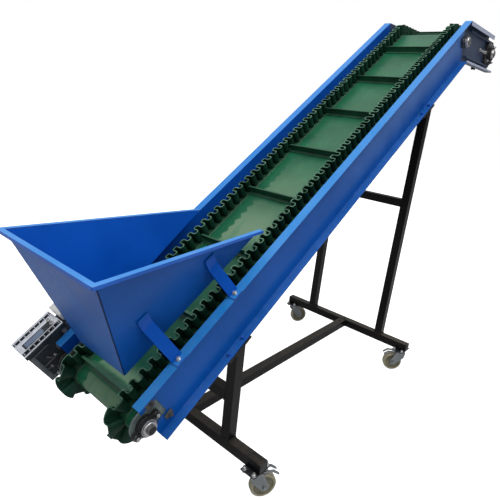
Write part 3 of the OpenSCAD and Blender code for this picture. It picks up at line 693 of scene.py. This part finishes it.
class CONVEYOR_OT_belt(ConveyorOperator, bpy.types.Operator):
    """Makes the belt with its rounded turns, and finishes the cleats"""
    bl_idname = "conveyor.belt"
    bl_label = "Belt"

    def make(self, scene):
        look = scene.conveyor_finishes
        bm = bmesh.new()
        half, t = 0.185, PATH.belt_t
        PATH.sweep(bm, [(-half, 0), (-half + 0.001, 0.0), (half - 0.001, 0.0), (half, 0), (half, -t), (-half, -t)], 0.012)
        bmesh.ops.recalc_face_normals(bm, faces=bm.faces)
        uv_by_path(bm, PATH)
        step = PATH.length / CLEATS
        cover = finish("belt_cover", belting, tuple(look.belt), tuple(look.sheen), 
                       (step, PATH.length - CLEAT_START, PATH.length / scene.conveyor_belt.waves))
        piece(bm, "belt_cover", cover, stands_for=("belt",))
        coat(finish("cleat_rubber", painted_rubber, tuple(look.belt)), "belt_cleats")


def painted_rubber(name, rgb):
    """Cleat rubber: satin green with pale rubbed edges and a faint painted highlight on faces that look up."""
    f = Finish(name)
    edge = f.soft_edge(0.0020)
    cloud = f.noise(12, 5, 0.6)
    fine = f.noise(160, 4, 0.6)
    base = f.mix(f.band(cloud, 0.3, 0.7), scaled(rgb, 0.45), scaled(rgb, 0.90))
    # Pale rubbed edges, and a faint painted highlight on faces that look up.
    base = f.mix((edge * 0.45 + f.facing_up() * 0.08).low(1.0) * f.band(fine + cloud * 0.5, 0.5, 0.9), base, srgb(92, 128, 100))
    f.bump(fine, 0.0005, 0.45)
    return f.end(base, fine * 0.2 + 0.38)


class CONVEYOR_OT_sidewalls(ConveyorOperator, bpy.types.Operator):
    """Makes the corrugated sidewalls and the strips they are bonded on"""
    bl_idname = "conveyor.sidewalls"
    bl_label = "Sidewalls"

    def make(self, scene):
        size = scene.conveyor_belt
        look = scene.conveyor_finishes
        # The second colour is the pale of scuffs and of the painted highlight on the sidewalls' top face.
        material = finish("sidewall_rubber", rubber, tuple(look.wall), srgb(92, 128, 108))
        wave = PATH.length / size.waves
        middle = (size.inner + size.outer) / 2
        swing = (size.outer - size.inner - size.wall) / 2
        for side, name in ((-1, "near"), (1, "far")):
            bm = bmesh.new()
            PATH.closed = False
            PATH.sweep(bm, [(side * middle, h) for h in (0.0008, 0.018, 0.036, size.height - 0.0025, size.height)], wave / 14)
            PATH.closed = True
            layer = bm.loops.layers.uv.new("path")
            spots = {v: PATH.locate(v.co) for v in bm.verts}
            for v, (d, h) in spots.items():
                turn = math.tau * d / wave
                lean = size.neck * math.sin(2 * turn) * min(1.0, h / 0.03 + 0.4)
                flat = math.tanh(0.95 * math.cos(turn)) / math.tanh(0.95)
                v.co = PATH.at(d + lean, h) + ACROSS * side * (middle + swing * flat)
            for face in bm.faces:
                rows = [spots[l.vert][0] for l in face.loops]
                wraps = max(rows) - min(rows) > PATH.length / 2
                for loop, d in zip(face.loops, rows):
                    loop[layer].uv = (d + PATH.length if wraps and d < PATH.length / 2 else d, spots[loop.vert][1])
            bmesh.ops.recalc_face_normals(bm, faces=bm.faces)
            made = piece(bm, f"sidewall_{name}_rubber", material, stands_for=(f"sidewall_{name}",), sharp=60)
            thick = made.modifiers.new("wall", "SOLIDIFY")
            thick.thickness = size.wall
            thick.offset = 0
            bm = bmesh.new()
            PATH.sweep(bm, [(side * (size.inner - 0.006), 0), (side * (size.inner - 0.004), 0.002), (side * (size.outer + 0.004), 0.002),
                            (side * (size.outer + 0.006), 0)], 0.012)
            bmesh.ops.recalc_face_normals(bm, faces=bm.faces)
            uv_by_path(bm, PATH)
            piece(bm, f"sidewall_{name}_strip", finish("strip_rubber", painted_rubber, scaled(tuple(look.belt), 0.7)))


class CONVEYOR_OT_drums(ConveyorOperator, bpy.types.Operator):
    """Finishes the drums, rollers, ties and the bed plate"""
    bl_idname = "conveyor.drums"
    bl_label = "Drums and bed"

    def make(self, scene):
        look = scene.conveyor_finishes
        coat(finish("drum_steel", plated, srgb(150, 150, 150), rough=0.30, brushed=1.0), "tail_drum", "knee_drum", "head_drum", "bed_plate")
        coat(black_coat(look), "cross_ties")
        coat(finish("roller_plastic", plastic, srgb(40, 42, 44)), "return_rollers")


class CONVEYOR_OT_bearings(ConveyorOperator, bpy.types.Operator):
    """Finishes the bearings and adds their inserts and bolts, and the tail shaft's end face"""
    bl_idname = "conveyor.bearings"
    bl_label = "Bearings"

    def make(self, scene):
        look = scene.conveyor_finishes
        iron = finish("bearing_iron", cast_iron, srgb(20, 21, 22))
        coat(iron, "tail_bearing", "head_bearings", "gear_flange")
        coat(finish("bearing_grey", cast_iron, srgb(58, 60, 64)), "knee_bearings")
        coat(finish("tail_plate", plated, srgb(120, 136, 134), rough=0.42, stain=0.8, metal=0.6), "tail_plates")
        bright = finish("bright_steel", plated, srgb(200, 200, 202), rough=0.24, stain=0.35)
        spots = [(on_slope(-0.010, -HALF_W, -0.095), -ACROSS, 0.032, 0.015)]
        for side in (-1, 1):
            knee, head = PATH.arcs[3][0], PATH.arcs[2][0]
            spots.append((knee + ACROSS * side * WEB_OUT, ACROSS * side, 0.030, 0.015))
            spots.append((head + ACROSS * side * WEB_OUT, ACROSS * side, 0.042, 0.015))
        bm = bmesh.new()
        for place, axis, out, r in spots:
            where = aim(place, axis)
            ring(bm, where, [(r + 0.0005, out - 0.009), (r + 0.0088, out - 0.009), (r + 0.0088, out - 0.0015), (r + 0.0075, out + 0.0004),
                             (r + 0.0005, out + 0.0004)])
            ring(bm, where, [(r + 0.0095, out - 0.0100), (r + 0.0125, out - 0.0100), (r + 0.0120, out - 0.0072), (r + 0.0100, out - 0.0066)])
            for turn in (0.6, 2.7):
                side_on = where @ Matrix.Rotation(turn, 4, "Z")
                disc(bm, side_on @ Matrix.Translation((r + 0.0080, 0, out - 0.0045)) @ Matrix.Rotation(math.pi / 2, 4, "Y"), 0.0026, 0.0016, segments=10)
        bmesh.ops.recalc_face_normals(bm, faces=bm.faces)
        piece(bm, "bearing_inserts", bright)
        bm = bmesh.new()
        low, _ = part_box("tail_drum")
        shaft = aim(Vector((PATH.arcs[0][0].x, low.y, PATH.arcs[0][0].z)), -ACROSS, 0.5)
        disc(bm, shaft, 0.0138, 0.0006, top=0.0132, segments=32)
        for d in (-0.0058, 0.0058):
            ring(bm, shaft @ Matrix.Translation((d, 0, 0)), [(0.0030, 0.0004), (0.0040, 0.0004), (0.0040, 0.0012), (0.0030, 0.0010)], 20)
        bmesh.ops.recalc_face_normals(bm, faces=bm.faces)
        piece(bm, "shaft_face", finish("shaft_dark", plated, srgb(70, 70, 72), rough=0.36, stain=0.8))
        # Painted shade: near-black discs sit in the shaft end's two holes.
        bm = bmesh.new()
        for d in (-0.0058, 0.0058):
            disc(bm, shaft @ Matrix.Translation((d, 0, 0)), 0.0031, 0.0008, segments=16)
        bmesh.ops.recalc_face_normals(bm, faces=bm.faces)
        piece(bm, "shaft_holes", finish("hole_dark", plastic, srgb(6, 6, 7), rough=0.8))
        bm = bmesh.new()
        for dx in (-0.042, 0.042):
            hex_bolt(bm, on_slope(-0.010 + dx, -HALF_W - 0.0125, -0.095), -ACROSS, 0.0070, turn=dx * 9, tail=0.003)
        for side in (-1, 1):
            for dx in (-0.038, 0.038):
                hex_bolt(bm, PATH.arcs[3][0] + Vector((dx, side * (WEB_OUT + 0.0125), 0)), ACROSS * side, 0.0080, turn=dx * 20, tail=0.004)
            for dx in (-0.042, 0.042):
                for dz in (-0.042, 0.042):
                    place = PATH.arcs[2][0] + Vector((dx, side * (WEB_OUT + 0.0165), dz))
                    hex_bolt(bm, place, ACROSS * side, 0.0085, turn=dx * 30 + dz * 9, tail=0.006)
        bmesh.ops.recalc_face_normals(bm, faces=bm.faces)
        piece(bm, "bearing_bolts", bright)


class CONVEYOR_OT_discharge_end(ConveyorOperator, bpy.types.Operator):
    """Finishes the level frame and adds its take-up screws"""
    bl_idname = "conveyor.discharge_end"
    bl_label = "Discharge end"

    def make(self, scene):
        look = scene.conveyor_finishes
        # On the frame, the pale lilac film and the paler colour on faces that look up are dust and a painted highlight,
        # and the pale flange ends are a painted highlight.
        coat(finish("grey_frame", painted, look.grey, dusty=2.6, gloss=0.36, chipped=1.4, side_film=0.1, shine=0.3,
                    film_rgb=srgb(200, 204, 226), bleached=srgb(176, 184, 212), shaded=1.0, lips=srgb(196, 204, 226)), "head_frame_near", "head_frame_far")
        bm = bmesh.new()
        for side in (-1, 1):
            back = Vector((-1, 0, 0))
            start = PATH.arcs[2][0] + Vector((-0.058, side * (WEB_OUT + 0.007), 0))
            for i in range(60):
                thread = start + back * 0.002 * i
                disc(bm, aim(thread, back), 0.0050, 0.001, top=0.0042, segments=10)
                disc(bm, aim(thread + back * 0.001, back), 0.0042, 0.001, top=0.0050, segments=10)
            hex_bolt(bm, start + back * 0.110, back, 0.0085)
            hex_bolt(bm, start + back * 0.004, back, 0.0085)
        bmesh.ops.recalc_face_normals(bm, faces=bm.faces)
        piece(bm, "take_up_screws", finish("bright_steel", plated, srgb(200, 200, 202), rough=0.24, stain=0.35))


class CONVEYOR_OT_drive(ConveyorOperator, bpy.types.Operator):
    """Finishes the gearmotor and adds its screws, gland and cover plate"""
    bl_idname = "conveyor.drive"
    bl_label = "Drive"

    def make(self, scene):
        case = finish("gear_case", cast_iron, srgb(40, 48, 54), shine=0.9)
        coat(case, "gearbox")
        bright = finish("bright_steel", plated, srgb(200, 200, 202), rough=0.24, stain=0.35)
        turn = Matrix.Rotation(-INCLINE, 4, "Y")
        middle = GEAR_S0 + GEAR_L / 2
        bm = bmesh.new()
        for dy in (-0.0525, -0.0265, 0.0265, 0.0525):
            block(bm, Matrix.Translation(on_slope(middle, GEAR_MID_Y + dy, GEAR_TOP + 0.0015)) @ turn, (GEAR_L + 0.007, 0.003, 0.003), 0.0008)
        for end in (-1, 1):
            place = on_slope(middle + end * (GEAR_L / 2 + 0.0025), GEAR_MID_Y, GEAR_TOP + 0.0015)
            block(bm, Matrix.Translation(place) @ turn, (0.003, 0.108, 0.003), 0.0008)
        pitch = (GEAR_L - 0.029) / 6
        for i in range(8):
            for dy in (-0.036, 0.036):
                place = on_slope(GEAR_S0 + 0.009 + pitch * (i - 1) + (pitch + 0.011) / 2, GEAR_MID_Y + dy, GEAR_TOP + 0.0012)
                block(bm, Matrix.Translation(place) @ turn, (0.0022, 0.012, 0.0024), 0.0006)
        for end in (-1, 1):
            place = on_slope(middle + end * (GEAR_L / 2 - 0.008), GEAR_MID_Y, GEAR_TOP + 0.0006)
            block(bm, Matrix.Translation(place) @ turn, (0.018, 0.050, 0.0012), 0.0004)
        block(bm, Matrix.Translation(on_slope(middle, GEAR_MID_Y + 0.017, GEAR_TOP + 0.0006)) @ turn, (GEAR_L - 0.03, 0.012, 0.0012), 0.0004)
        sheet = Matrix.Translation(on_slope(middle, GEAR_MID_Y, GEAR_TOP + 0.0004)) @ turn
        for dy in (-0.0245, 0.0245, -0.0485, 0.0485):
            block(bm, sheet @ Matrix.Translation((0, dy, 0)), (GEAR_L + 0.004, 0.005, 0.0008))
        bmesh.ops.recalc_face_normals(bm, faces=bm.faces)
        piece(bm, "gear_cover", finish("cover_alloy", plated, srgb(226, 230, 238), rough=0.38, stain=0.35, metal=0.25))
        bm = bmesh.new()
        block(bm, Matrix.Translation(on_slope(middle - 0.016, GEAR_MID_Y - 0.006, GEAR_TOP + 0.0008)) @ turn, (0.074, 0.026, 0.0016), 0.0004)
        bmesh.ops.recalc_face_normals(bm, faces=bm.faces)
        piece(bm, "gear_blank_plate", finish("blank_plate", plated, srgb(122, 138, 166), rough=0.32, stain=0.8, metal=0.4))
        bm = bmesh.new()
        face_y = GEAR_MID_Y - 0.050
        for k in range(10):
            a = k * math.tau / 10 + 0.2
            rib = on_slope(-0.010 + 0.068 * math.cos(a), face_y - 0.0012, -0.095 + 0.068 * math.sin(a))
            block(bm, Matrix.Translation(rib) @ Matrix.Rotation(-INCLINE - a, 4, "Y"), (0.026, 0.003, 0.005), 0.0008)
        for s in (GEAR_S0 + 0.010, GEAR_S0 + GEAR_L - 0.010):
            block(bm, Matrix.Translation(on_slope(s, face_y - 0.0015, -0.050)) @ turn, (0.016, 0.0034, 0.130), 0.0012)
        for n in (-0.118, -0.050, 0.010):
            block(bm, Matrix.Translation(on_slope(middle - 0.030, face_y - 0.0010, n)) @ turn, (0.060, 0.0025, 0.004), 0.0008)
        seat_block = Matrix.Translation(on_slope(GEAR_S0 + GEAR_L + 0.0255, GEAR_MID_Y, GEAR_TOP + 0.008)) @ turn
        bmesh.ops.recalc_face_normals(bm, faces=bm.faces)
        # The ribs are a paler copy of the case's cast iron: a painted highlight on the raised ribs.
        piece(bm, "gear_case_ribs", finish("raw_iron", cast_iron, srgb(96, 102, 106), shine=1.0))
        bm = bmesh.new()
        block(bm, seat_block, (0.0285, 0.078, 0.030), 0.0030)
        bmesh.ops.recalc_face_normals(bm, faces=bm.faces)
        piece(bm, "terminal_box_foot", finish("terminal_grey", painted, srgb(214, 216, 212), dusty=0.7, gloss=0.4, chipped=0.6))
        bm = bmesh.new()
        for dy in (-0.012, 0.012):
            stud = aim(on_slope(GEAR_S0 + GEAR_L - 0.020, GEAR_MID_Y + dy, GEAR_TOP), OFF)
            ring(bm, stud, [(0.0045, 0), (0.0085, 0), (0.0085, 0.0030), (0.0070, 0.0045), (0.0045, 0.0045)], 28)
            disc(bm, stud, 0.0042, 0.003, segments=6)
        hub = on_slope(-0.010, HALF_W, -0.095)
        ring(bm, aim(hub + ACROSS * 0.0170, ACROSS), [(0.0395, -0.0008), (0.0462, -0.0008), (0.0462, 0.0006), (0.0395, 0.0006)], 56)
        for k in range(8):
            a = k * math.tau / 8 + 0.3
            hex_bolt(bm, on_slope(-0.010 + 0.054 * math.cos(a), 0.2502, -0.095 + 0.054 * math.sin(a)), -ACROSS, 0.0048, turn=a)
        box_s = GEAR_S0 + GEAR_L + BOX_GAP
        lid = GEAR_TOP - 0.060 + 0.054 + 0.0383
        for ds in (0.007, 0.085):
            for dy in (-0.036, 0.036):
                place = on_slope(box_s + ds, GEAR_MID_Y + dy, lid + 0.0002)
                disc(bm, aim(place, OFF), 0.0040, 0.0016, top=0.0034, segments=14)
        gland = aim(on_slope(box_s + 0.092, GEAR_MID_Y, lid - 0.020), ALONG)
        disc(bm, gland, 0.0125, 0.004, segments=6)
        disc(bm, gland, 0.0105, 0.006, segments=20, lift=0.004)
        disc(bm, gland, 0.0120, 0.007, segments=6, lift=0.010)
        disc(bm, gland, 0.0100, 0.004, top=0.0065, segments=20, lift=0.017)
        for k in range(4):
            a = k * math.tau / 4 + 0.78
            centre = on_slope(GEAR_S0 + GEAR_L + 0.016, GEAR_MID_Y + 0.0475 * math.cos(a), GEAR_TOP - 0.060 + 0.0475 * math.sin(a))
            hex_bolt(bm, centre, -ALONG, 0.0050, turn=a, washer=False)
        bmesh.ops.recalc_face_normals(bm, faces=bm.faces)
        piece(bm, "drive_screws", bright)
        coat(finish("motor_case", plated, srgb(120, 124, 130), rough=0.46, stain=0.8, metal=0.5), "motor")
        coat(finish("terminal_grey", painted, srgb(214, 216, 212), dusty=0.7, gloss=0.4, chipped=0.6), "terminal_box")
        coat(finish("fan_black", plastic, srgb(30, 31, 34)), "fan_cover")


class CONVEYOR_OT_welds(ConveyorOperator, bpy.types.Operator):
    """Lays the weld beads of the hopper, its braces and the stand"""
    bl_idname = "conveyor.welds"
    bl_label = "Welds"

    def make(self, scene):
        look = scene.conveyor_finishes
        bm = bmesh.new()
        seams = bmesh.new()
        foot = on_slope(0.053, 0.123, 0.023)
        for side in (-1, 1):
            flip = Vector((1, side, 1))
            top, low = RIM_CORNER * flip, foot * flip
            out = Vector((-0.0016, side * 0.0018, -0.0008))
            # Painted shadow: a thin near-black bead down each front corner of the hopper stands in for the shadow in
            # the gap there.
            weld(seams, top.lerp(low, 0.012) + out, low + out, 0.0015)
            for s, n in BRACES:
                y = self.plate_y(s, n + 0.006)
                place = [on_slope(s + d, side * (y + 0.0048), n + 0.0055) for d in (-BRACE_HALF, BRACE_HALF)]
                weld(bm, place[0], place[1], 0.0026)
        bmesh.ops.recalc_face_normals(bm, faces=bm.faces)
        piece(bm, "hopper_welds", finish("blue_paint", painted, look.blue), sharp=80)
        bmesh.ops.recalc_face_normals(seams, faces=seams.faces)
        # A near-black copy of the blue: painted shadow in the corner gaps.
        piece(seams, "hopper_seams", finish("seam_sealer", painted, scaled(tuple(look.blue), 0.18), dusty=0.2, shine=0.2), sharp=80)
        bm = bmesh.new()
        t = 0.020
        for x in (FRONT_X, REAR_X):
            for side in (-1, 1):
                y = side * 0.225
                corners = [Vector((x + a * t, y + b * t, BASE_TOP + 0.0008)) for a, b in ((-1, -1), (1, -1), (1, 1), (-1, 1))]
                for a, b in zip(corners, corners[1:] + corners[:1]):
                    weld(bm, a, b, 0.0028)
                z = (0.372 if x == FRONT_X else 0.945) - t
                face = [Vector((x + a * t, side * (0.205 - 0.0008), z + b * t)) for a, b in ((-1, -1), (1, -1), (1, 1), (-1, 1))]
                for a, b in zip(face, face[1:] + face[:1]):
                    weld(bm, a, b, 0.0026)
            end = x + (t + 0.0008 if x == FRONT_X else -t - 0.0008)
            face = [Vector((end, a * t, BASE_TOP - t + b * t)) for a, b in ((-1, -1), (1, -1), (1, 1), (-1, 1))]
            for a, b in zip(face, face[1:] + face[:1]):
                weld(bm, a, b, 0.0026)
        bmesh.ops.recalc_face_normals(bm, faces=bm.faces)
        piece(bm, "stand_welds", black_coat(look), sharp=80)

    @staticmethod
    def plate_y(s, n):
        """Half width of the hopper side's outer face at a place on the slope."""
        rim, foot = RIM_CORNER, on_slope(0.053, 0.123, 0.023)
        tip_s = (RIM_CORNER.z - LOW_END.z - TIP_N * math.cos(INCLINE)) / math.sin(INCLINE)
        tip = on_slope(tip_s, RIM_TIP_Y, TIP_N)
        out = (tip - rim).cross(foot - rim).normalized()
        if out.y < 0:
            out = -out
        p = on_slope(s, 0, n)
        return rim.y + (PLATE - out.x * (p.x - rim.x) - out.z * (p.z - rim.z)) / out.y


class CONVEYOR_OT_bolts(ConveyorOperator, bpy.types.Operator):
    """Adds the bolts of the braces, post plates and caster plates"""
    bl_idname = "conveyor.bolts"
    bl_label = "Bolts"

    def make(self, scene):
        look = scene.conveyor_finishes
        bright = finish("bright_steel", plated, srgb(200, 200, 202), rough=0.24, stain=0.35)
        dull = finish("black_bolt", cast_iron, srgb(34, 36, 40))
        bm = bmesh.new()
        for side in (-1, 1):
            y = side * (WEB_OUT + RAIL_OUT) / 2
            for s, _ in BRACES:
                hex_bolt(bm, on_slope(s, y, 0.0041), OFF, 0.0062, turn=s * 9)
                hex_bolt(bm, on_slope(s, y, -SHEET - 0.0001), -OFF, 0.0062, turn=s * 5, tail=0.006)
        bmesh.ops.recalc_face_normals(bm, faces=bm.faces)
        piece(bm, "brace_bolts", bright)
        heads = bmesh.new()
        nuts = bmesh.new()
        for x in (FRONT_X, REAR_X):
            s = (x - LOW_END.x - (RAIL_H + 0.006) * math.sin(INCLINE)) / math.cos(INCLINE)
            for side in (-1, 1):
                for d in (-0.038, 0.038):
                    hex_bolt(heads, on_slope(s + d, side * 0.225, SHEET - RAIL_H + 0.0001), OFF, 0.0066, turn=d * 12 + side)
                    hex_bolt(nuts, on_slope(s + d, side * 0.225, -RAIL_H - 0.0061), -OFF, 0.0076, turn=d * 7, tail=0.008)
        blue = finish("blue_paint", painted, look.blue)
        for bm, name, material in ((heads, "post_bolts", blue), (nuts, "post_nuts", dull)):
            bmesh.ops.recalc_face_normals(bm, faces=bm.faces)
            piece(bm, name, material)
        bm = bmesh.new()
        for x, y, _ in CASTERS.values():
            for dx in (-0.036, 0.036):
                for dy in (-0.022, 0.022):
                    hex_bolt(bm, Vector((x + dx, y + dy, 0.1301)), UP, 0.0070, turn=dx * 40 + dy * 20, tail=0.004)
                    hex_bolt(bm, Vector((x + dx, y + dy, 0.1249)), -UP, 0.0070, turn=dx * 30)
        bmesh.ops.recalc_face_normals(bm, faces=bm.faces)
        piece(bm, "caster_bolts", bright)
        bm = bmesh.new()
        turn = Matrix.Rotation(-INCLINE, 4, "Y")
        for s, n, size in ((0.036, -0.046, (0.030, 0.006, 0.034)), (0.058, -0.150, (0.030, 0.005, 0.024))):
            block(bm, Matrix.Translation(on_slope(s, -WEB_OUT - 0.0031, n)) @ turn, size, 0.0016)
            hex_bolt(bm, on_slope(s + 0.003, -WEB_OUT - 0.0056, n), -ACROSS, 0.0062, turn=n * 30, tail=0.004)
        bmesh.ops.recalc_face_normals(bm, faces=bm.faces)
        piece(bm, "tail_brackets", finish("rusty_steel", plated, srgb(96, 96, 96), rough=0.5, stain=1.2, metal=0.6))


class CONVEYOR_OT_stand(ConveyorOperator, bpy.types.Operator):
    """Finishes the stand and closes its tube ends"""
    bl_idname = "conveyor.stand"
    bl_label = "Stand"

    def make(self, scene):
        look = scene.conveyor_finishes
        coat(black_coat(look), "front_base_bar", "rear_base_bar", "front_posts", "rear_posts",
             "front_crossbar", "rear_crossbar", "long_bar", "post_plates")
        bm = bmesh.new()
        for x in (FRONT_X, REAR_X):
            for side in (-1, 1):
                block(bm, Matrix.Translation((x, side * 0.3965, BASE_TOP - 0.020)), (0.0345, 0.004, 0.0345), 0.001)
        bmesh.ops.recalc_face_normals(bm, faces=bm.faces)
        piece(bm, "tube_caps", finish("cap_plastic", plastic, srgb(22, 22, 24)))


class CONVEYOR_OT_casters(ConveyorOperator, bpy.types.Operator):
    """Makes the wheels and finishes the forks and plates"""
    bl_idname = "conveyor.casters"
    bl_label = "Casters"

    def make(self, scene):
        look = scene.conveyor_finishes
        zinc = finish("zinc_plate", plated, look.zinc, rough=0.30, stain=1.0)
        coat(zinc, *(f"fork_{name}" for name in CASTERS))
        coat(finish("dark_plate", plated, srgb(74, 78, 82), rough=0.34, stain=0.8), "caster_plates")
        tyre = finish("cream_tyre", tyre_finish, tuple(look.tyre))
        hub = finish("hub_plastic", plastic, srgb(116, 112, 92), rough=0.4)
        half = [(0.0395, 0.0150), (0.0415, 0.0160), (0.0460, 0.0158), (0.0486, 0.0132), (0.0497, 0.0095), (0.0500, 0.0045)]
        tread = half + [(r, -y) for r, y in reversed(half)]
        core = [(0.0056, 0.0180), (0.0125, 0.0180), (0.0140, 0.0165), (0.0150, 0.0100), (0.0170, 0.0082), (0.0330, 0.0082), (0.0365, 0.0100),
                (0.0380, 0.0150), (0.0397, 0.0152)]
        core += [(r, -y) for r, y in reversed(core)]
        for name, (x, y, turn) in CASTERS.items():
            a = math.radians(turn)
            middle = Vector((x + TRAIL * math.cos(a), y + TRAIL * math.sin(a), WHEEL_R))
            where = aim(middle, Vector((-math.sin(a), math.cos(a), 0)))
            bm = bmesh.new()
            ring(bm, where, tread, 64)
            bmesh.ops.recalc_face_normals(bm, faces=bm.faces)
            piece(bm, f"tyre_{name}", tyre, f"roller_{name}", (f"wheel_{name}",), 40)
            bm = bmesh.new()
            ring(bm, where, core, 48)
            disc(bm, where, 0.005, 0.052, segments=20, lift=-0.026)
            bmesh.ops.recalc_face_normals(bm, faces=bm.faces)
            piece(bm, f"hub_{name}", hub, f"roller_{name}")


class CONVEYOR_OT_stage(ConveyorOperator, bpy.types.Operator):
    """Sets the camera, the floor, the lamps and the sky"""
    bl_idname = "conveyor.stage"
    bl_label = "Stage"

    def make(self, scene):
        stage = scene.conveyor_stage
        camera = bpy.data.objects.new("camera", bpy.data.cameras.new("camera"))
        scene.collection.objects.link(camera)
        right, up, ahead = Vector((0.6578, -0.7469, 0.0974)), Vector((0.1759, 0.2780, 0.9443)), Vector((0.7324, 0.6040, -0.3142))
        turned = Matrix((right, up, -ahead)).transposed()
        camera.matrix_world = Matrix.Translation((-1.8277, -1.0943, 1.3506)) @ turned.to_quaternion().to_matrix().to_4x4()
        camera.data.sensor_width = 36
        camera.data.lens = 36 * 447.96 / 500
        camera.data.clip_start = 0.05
        scene.camera = camera

        f = Finish("floor")
        view = f.node("ShaderNodeLightPath", out="Is Camera Ray")
        grain = f.noise(3, 3)
        f.end(f.mix(f.band(grain, 0.3, 0.7) * 0.15, tuple(stage.floor), scaled(tuple(stage.floor), 0.97)), 0.9, Specular_IOR_Level=0.1,
              Emission_Color=(1, 1, 1, 1))
        f.tree.links.new((view * 0.95).socket, f.shader.inputs["Emission Strength"])
        bm = bmesh.new()
        bmesh.ops.create_grid(bm, x_segments=1, y_segments=1, size=14)
        mesh = bpy.data.meshes.new("floor")
        bm.to_mesh(mesh)
        bm.free()
        mesh.materials.append(f.material)
        floor = bpy.data.objects.new("floor", mesh)
        scene.collection.objects.link(floor)

        world = bpy.data.worlds.new("sky")
        scene.world = world
        world.use_nodes = True
        tree = world.node_tree
        path = tree.nodes.new("ShaderNodeLightPath")
        way = tree.nodes.new("ShaderNodeTexCoord")
        split = tree.nodes.new("ShaderNodeSeparateXYZ")
        tree.links.new(way.outputs["Generated"], split.inputs[0])
        rise = tree.nodes.new("ShaderNodeMapRange")
        rise.interpolation_type = "SMOOTHSTEP"
        rise.inputs["From Min"].default_value = -0.05
        rise.inputs["From Max"].default_value = 0.80
        rise.inputs["To Min"].default_value = stage.horizon
        rise.inputs["To Max"].default_value = stage.sky
        tree.links.new(split.outputs[2], rise.inputs["Value"])
        strength = tree.nodes.new("ShaderNodeMapRange")
        strength.inputs["To Max"].default_value = 1.0
        tree.links.new(rise.outputs[0], strength.inputs["To Min"])
        tree.links.new(path.outputs["Is Camera Ray"], strength.inputs["Value"])
        sky = tree.nodes["Background"]
        sky.inputs["Color"].default_value = (1, 1, 1, 1)
        tree.links.new(strength.outputs[0], sky.inputs["Strength"])

        for name, power, size, place, target in (
            ("overhead", stage.key, 3.2, (-0.8, -0.6, 4.2), (0.0, 0.0, 0.9)),
            ("front", stage.fill, 2.4, (-3.4, -2.6, 2.2), (0.0, 0.0, 0.9)),
        ):
            lamp = bpy.data.lights.new(name, "AREA")
            lamp.energy = power
            lamp.size = size
            made = bpy.data.objects.new(name, lamp)
            scene.collection.objects.link(made)
            place = Vector(place)
            made.matrix_world = Matrix.Translation(place) @ (Vector(target) - place).to_track_quat("-Z", "Y").to_matrix().to_4x4()
        scene.view_settings.view_transform = "Standard"


class CONVEYOR_PT_panel(bpy.types.Panel):
    """Lists the conveyor's pieces"""
    bl_label = "Belt conveyor"
    bl_idname = "CONVEYOR_PT_panel"
    bl_space_type = "VIEW_3D"
    bl_region_type = "UI"
    bl_category = "Conveyor"

    def draw(self, context):
        for group in (context.scene.conveyor_finishes, context.scene.conveyor_belt, context.scene.conveyor_stage):
            for name in group.__annotations__:
                self.layout.prop(group, name)
        for operator in OPERATORS:
            self.layout.operator(operator.bl_idname)


GROUPS = {"conveyor_finishes": ConveyorFinishes, "conveyor_belt": ConveyorBelt, "conveyor_stage": ConveyorStage}
OPERATORS = (
    CONVEYOR_OT_stage, CONVEYOR_OT_sheet_metal, CONVEYOR_OT_belt, CONVEYOR_OT_sidewalls, CONVEYOR_OT_drums, CONVEYOR_OT_bearings,
    CONVEYOR_OT_discharge_end, CONVEYOR_OT_drive, CONVEYOR_OT_welds, CONVEYOR_OT_bolts, CONVEYOR_OT_stand, CONVEYOR_OT_casters,
)


def register():
    for made in (*GROUPS.values(), *OPERATORS, CONVEYOR_PT_panel):
        bpy.utils.register_class(made)
    for name, group in GROUPS.items():
        setattr(bpy.types.Scene, name, PointerProperty(type=group))


def unregister():
    for name in GROUPS:
        delattr(bpy.types.Scene, name)
    for made in reversed((*GROUPS.values(), *OPERATORS, CONVEYOR_PT_panel)):
        bpy.utils.unregister_class(made)


def main():
    register()
    for operator in OPERATORS:
        getattr(bpy.ops.conveyor, operator.bl_idname.split(".")[1])()


if __name__ == "__main__":
    main()
